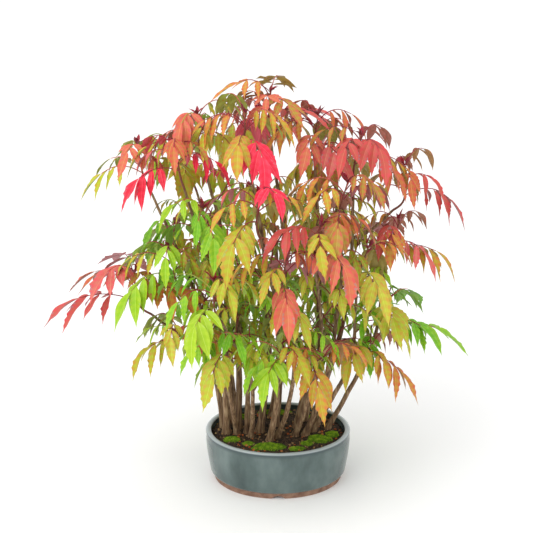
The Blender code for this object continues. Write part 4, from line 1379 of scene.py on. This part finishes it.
def leaflet_rows(leaf):
    """The leaflets of one leaf: pairs that spread and droop, then the one at the end."""
    draw = leaf["draw"]
    axis = [spot for spot, _ in leaf["path"]]
    heading = Vector((math.cos(leaf["azimuth"]), math.sin(leaf["azimuth"]), 0.0))
    side = Vector((-heading.y, heading.x, 0.0))
    whole = leaf["length"] * LEAFLET_SHARE
    pairs = 3 if leaf["length"] > LONG_LEAF else 2
    for pair in range(pairs):
        share = BARE_STALK + (LAST_PAIR - BARE_STALK) * (pair + PAIR_OFFSET) / pairs
        middle = point_on(axis, share)
        ahead = (point_on(axis, share + PAIR_LOOK_AHEAD) - middle).normalized()
        vary = draw.uniform(-SPREAD_VARY_DEG, SPREAD_VARY_DEG)
        spread = math.radians(SPREAD_DEG - SPREAD_LESS_DEG * pair + vary)
        droop = (PAIR_DROOP + draw.uniform(*PAIR_DROOP_VARY)) * leaf["lightness"]
        for hand in (-1, 1):
            way = ahead * math.cos(spread) + side * math.sin(spread) * hand
            way = (way - Vector((0, 0, droop))).normalized()
            size = whole * (PAIR_SIZE + PAIR_SIZE_GAIN * pair) * draw.uniform(*PAIR_SIZE_VARY)
            yield middle + ahead * PAIR_STAGGER * hand, way, size, heading
    ahead = (axis[-1] - axis[-2]).normalized()
    yield axis[-1], (ahead - Vector((0, 0, END_DROOP))).normalized(), whole * END_SIZE, heading


def look_of(variant):
    """The numbers of the five materials of one variant, in the order of a leaflet's parts."""
    return [variant * len(PARTS_OF_LEAFLET) + part for part in range(len(PARTS_OF_LEAFLET))]


def spray_look(leaf, number):
    """The family and the variant of colours of one spray."""
    shoot = leaf["shoot"]
    family = leaf["draw"].choice(NEIGHBOURS[shoot["tint"]])
    if number in CRIMSON_SPRAYS.get(shoot["name"], ()):
        family = "crimson"
    variants = SPRAY_CRIMSONS if family == "crimson" else len(SPRAY_TINTS[family])
    return family, leaf["draw"].randrange(variants)


stores = {family: ([], [], []) for family in SPRAY_TINTS}
seen = {}
for leaf in leaves:
    name = leaf["shoot"]["name"]
    seen[name] = seen.get(name, -1) + 1
    family, variant = spray_look(leaf, seen[name])
    look = look_of(variant)
    for base, way, size, heading in leaflet_rows(leaf):
        if (base + way * size).z + POT_MIDDLE.z < POT_HEIGHT + CLEAR_OF_RIM:
            continue
        add_blade(stores[family], base, way, size, heading, look, leaf["draw"], leaf["lightness"])
for shoot in tips + bough_ends:
    draw = random.Random(shoot["name"] + " buds")
    for _ in range(BUD_LEAFLETS):
        turn = draw.uniform(0, math.tau)
        heading = Vector((math.cos(turn), math.sin(turn), 0.0))
        way = (heading * draw.uniform(*BUD_RISE) + Vector((0, 0, 1))).normalized()
        size = draw.uniform(*BUD_SIZE)
        top = shoot["twig"][-1]
        add_blade(stores["crimson"], top, way, size, heading, look_of(SPRAY_CRIMSONS), draw, BUD_LIGHTNESS)
mass_nodes = {family: [] for family in SPRAY_TINTS}
for shoot in shoots:
    mass_nodes[shoot["tint"]].append("leaves_" + shoot["name"])
for family, (corners, faces, finishes) in stores.items():
    mesh = bpy.data.meshes.new("leaflets")
    mesh.from_pydata(corners, [], faces)
    for variant, shades in enumerate(SPRAY_TINTS[family]):
        mottle = tuple(a + (b - a) * MOTTLE_SHARE for a, b in zip(shades[0], shades[1]))
        for part, shade in zip(PARTS_OF_LEAFLET, (*shades, mottle)):
            mesh.materials.append(plain_material(f"{family} {part} {variant + 1}", shade, 0.46, 0.35))
    mesh.polygons.foreach_set("material_index", finishes)
    mesh.shade_smooth()
    mesh.set_sharp_from_angle(angle=math.radians(60))
    show(mesh, f"{family}_leaflets", "leaves_" + family, *mass_nodes[family])
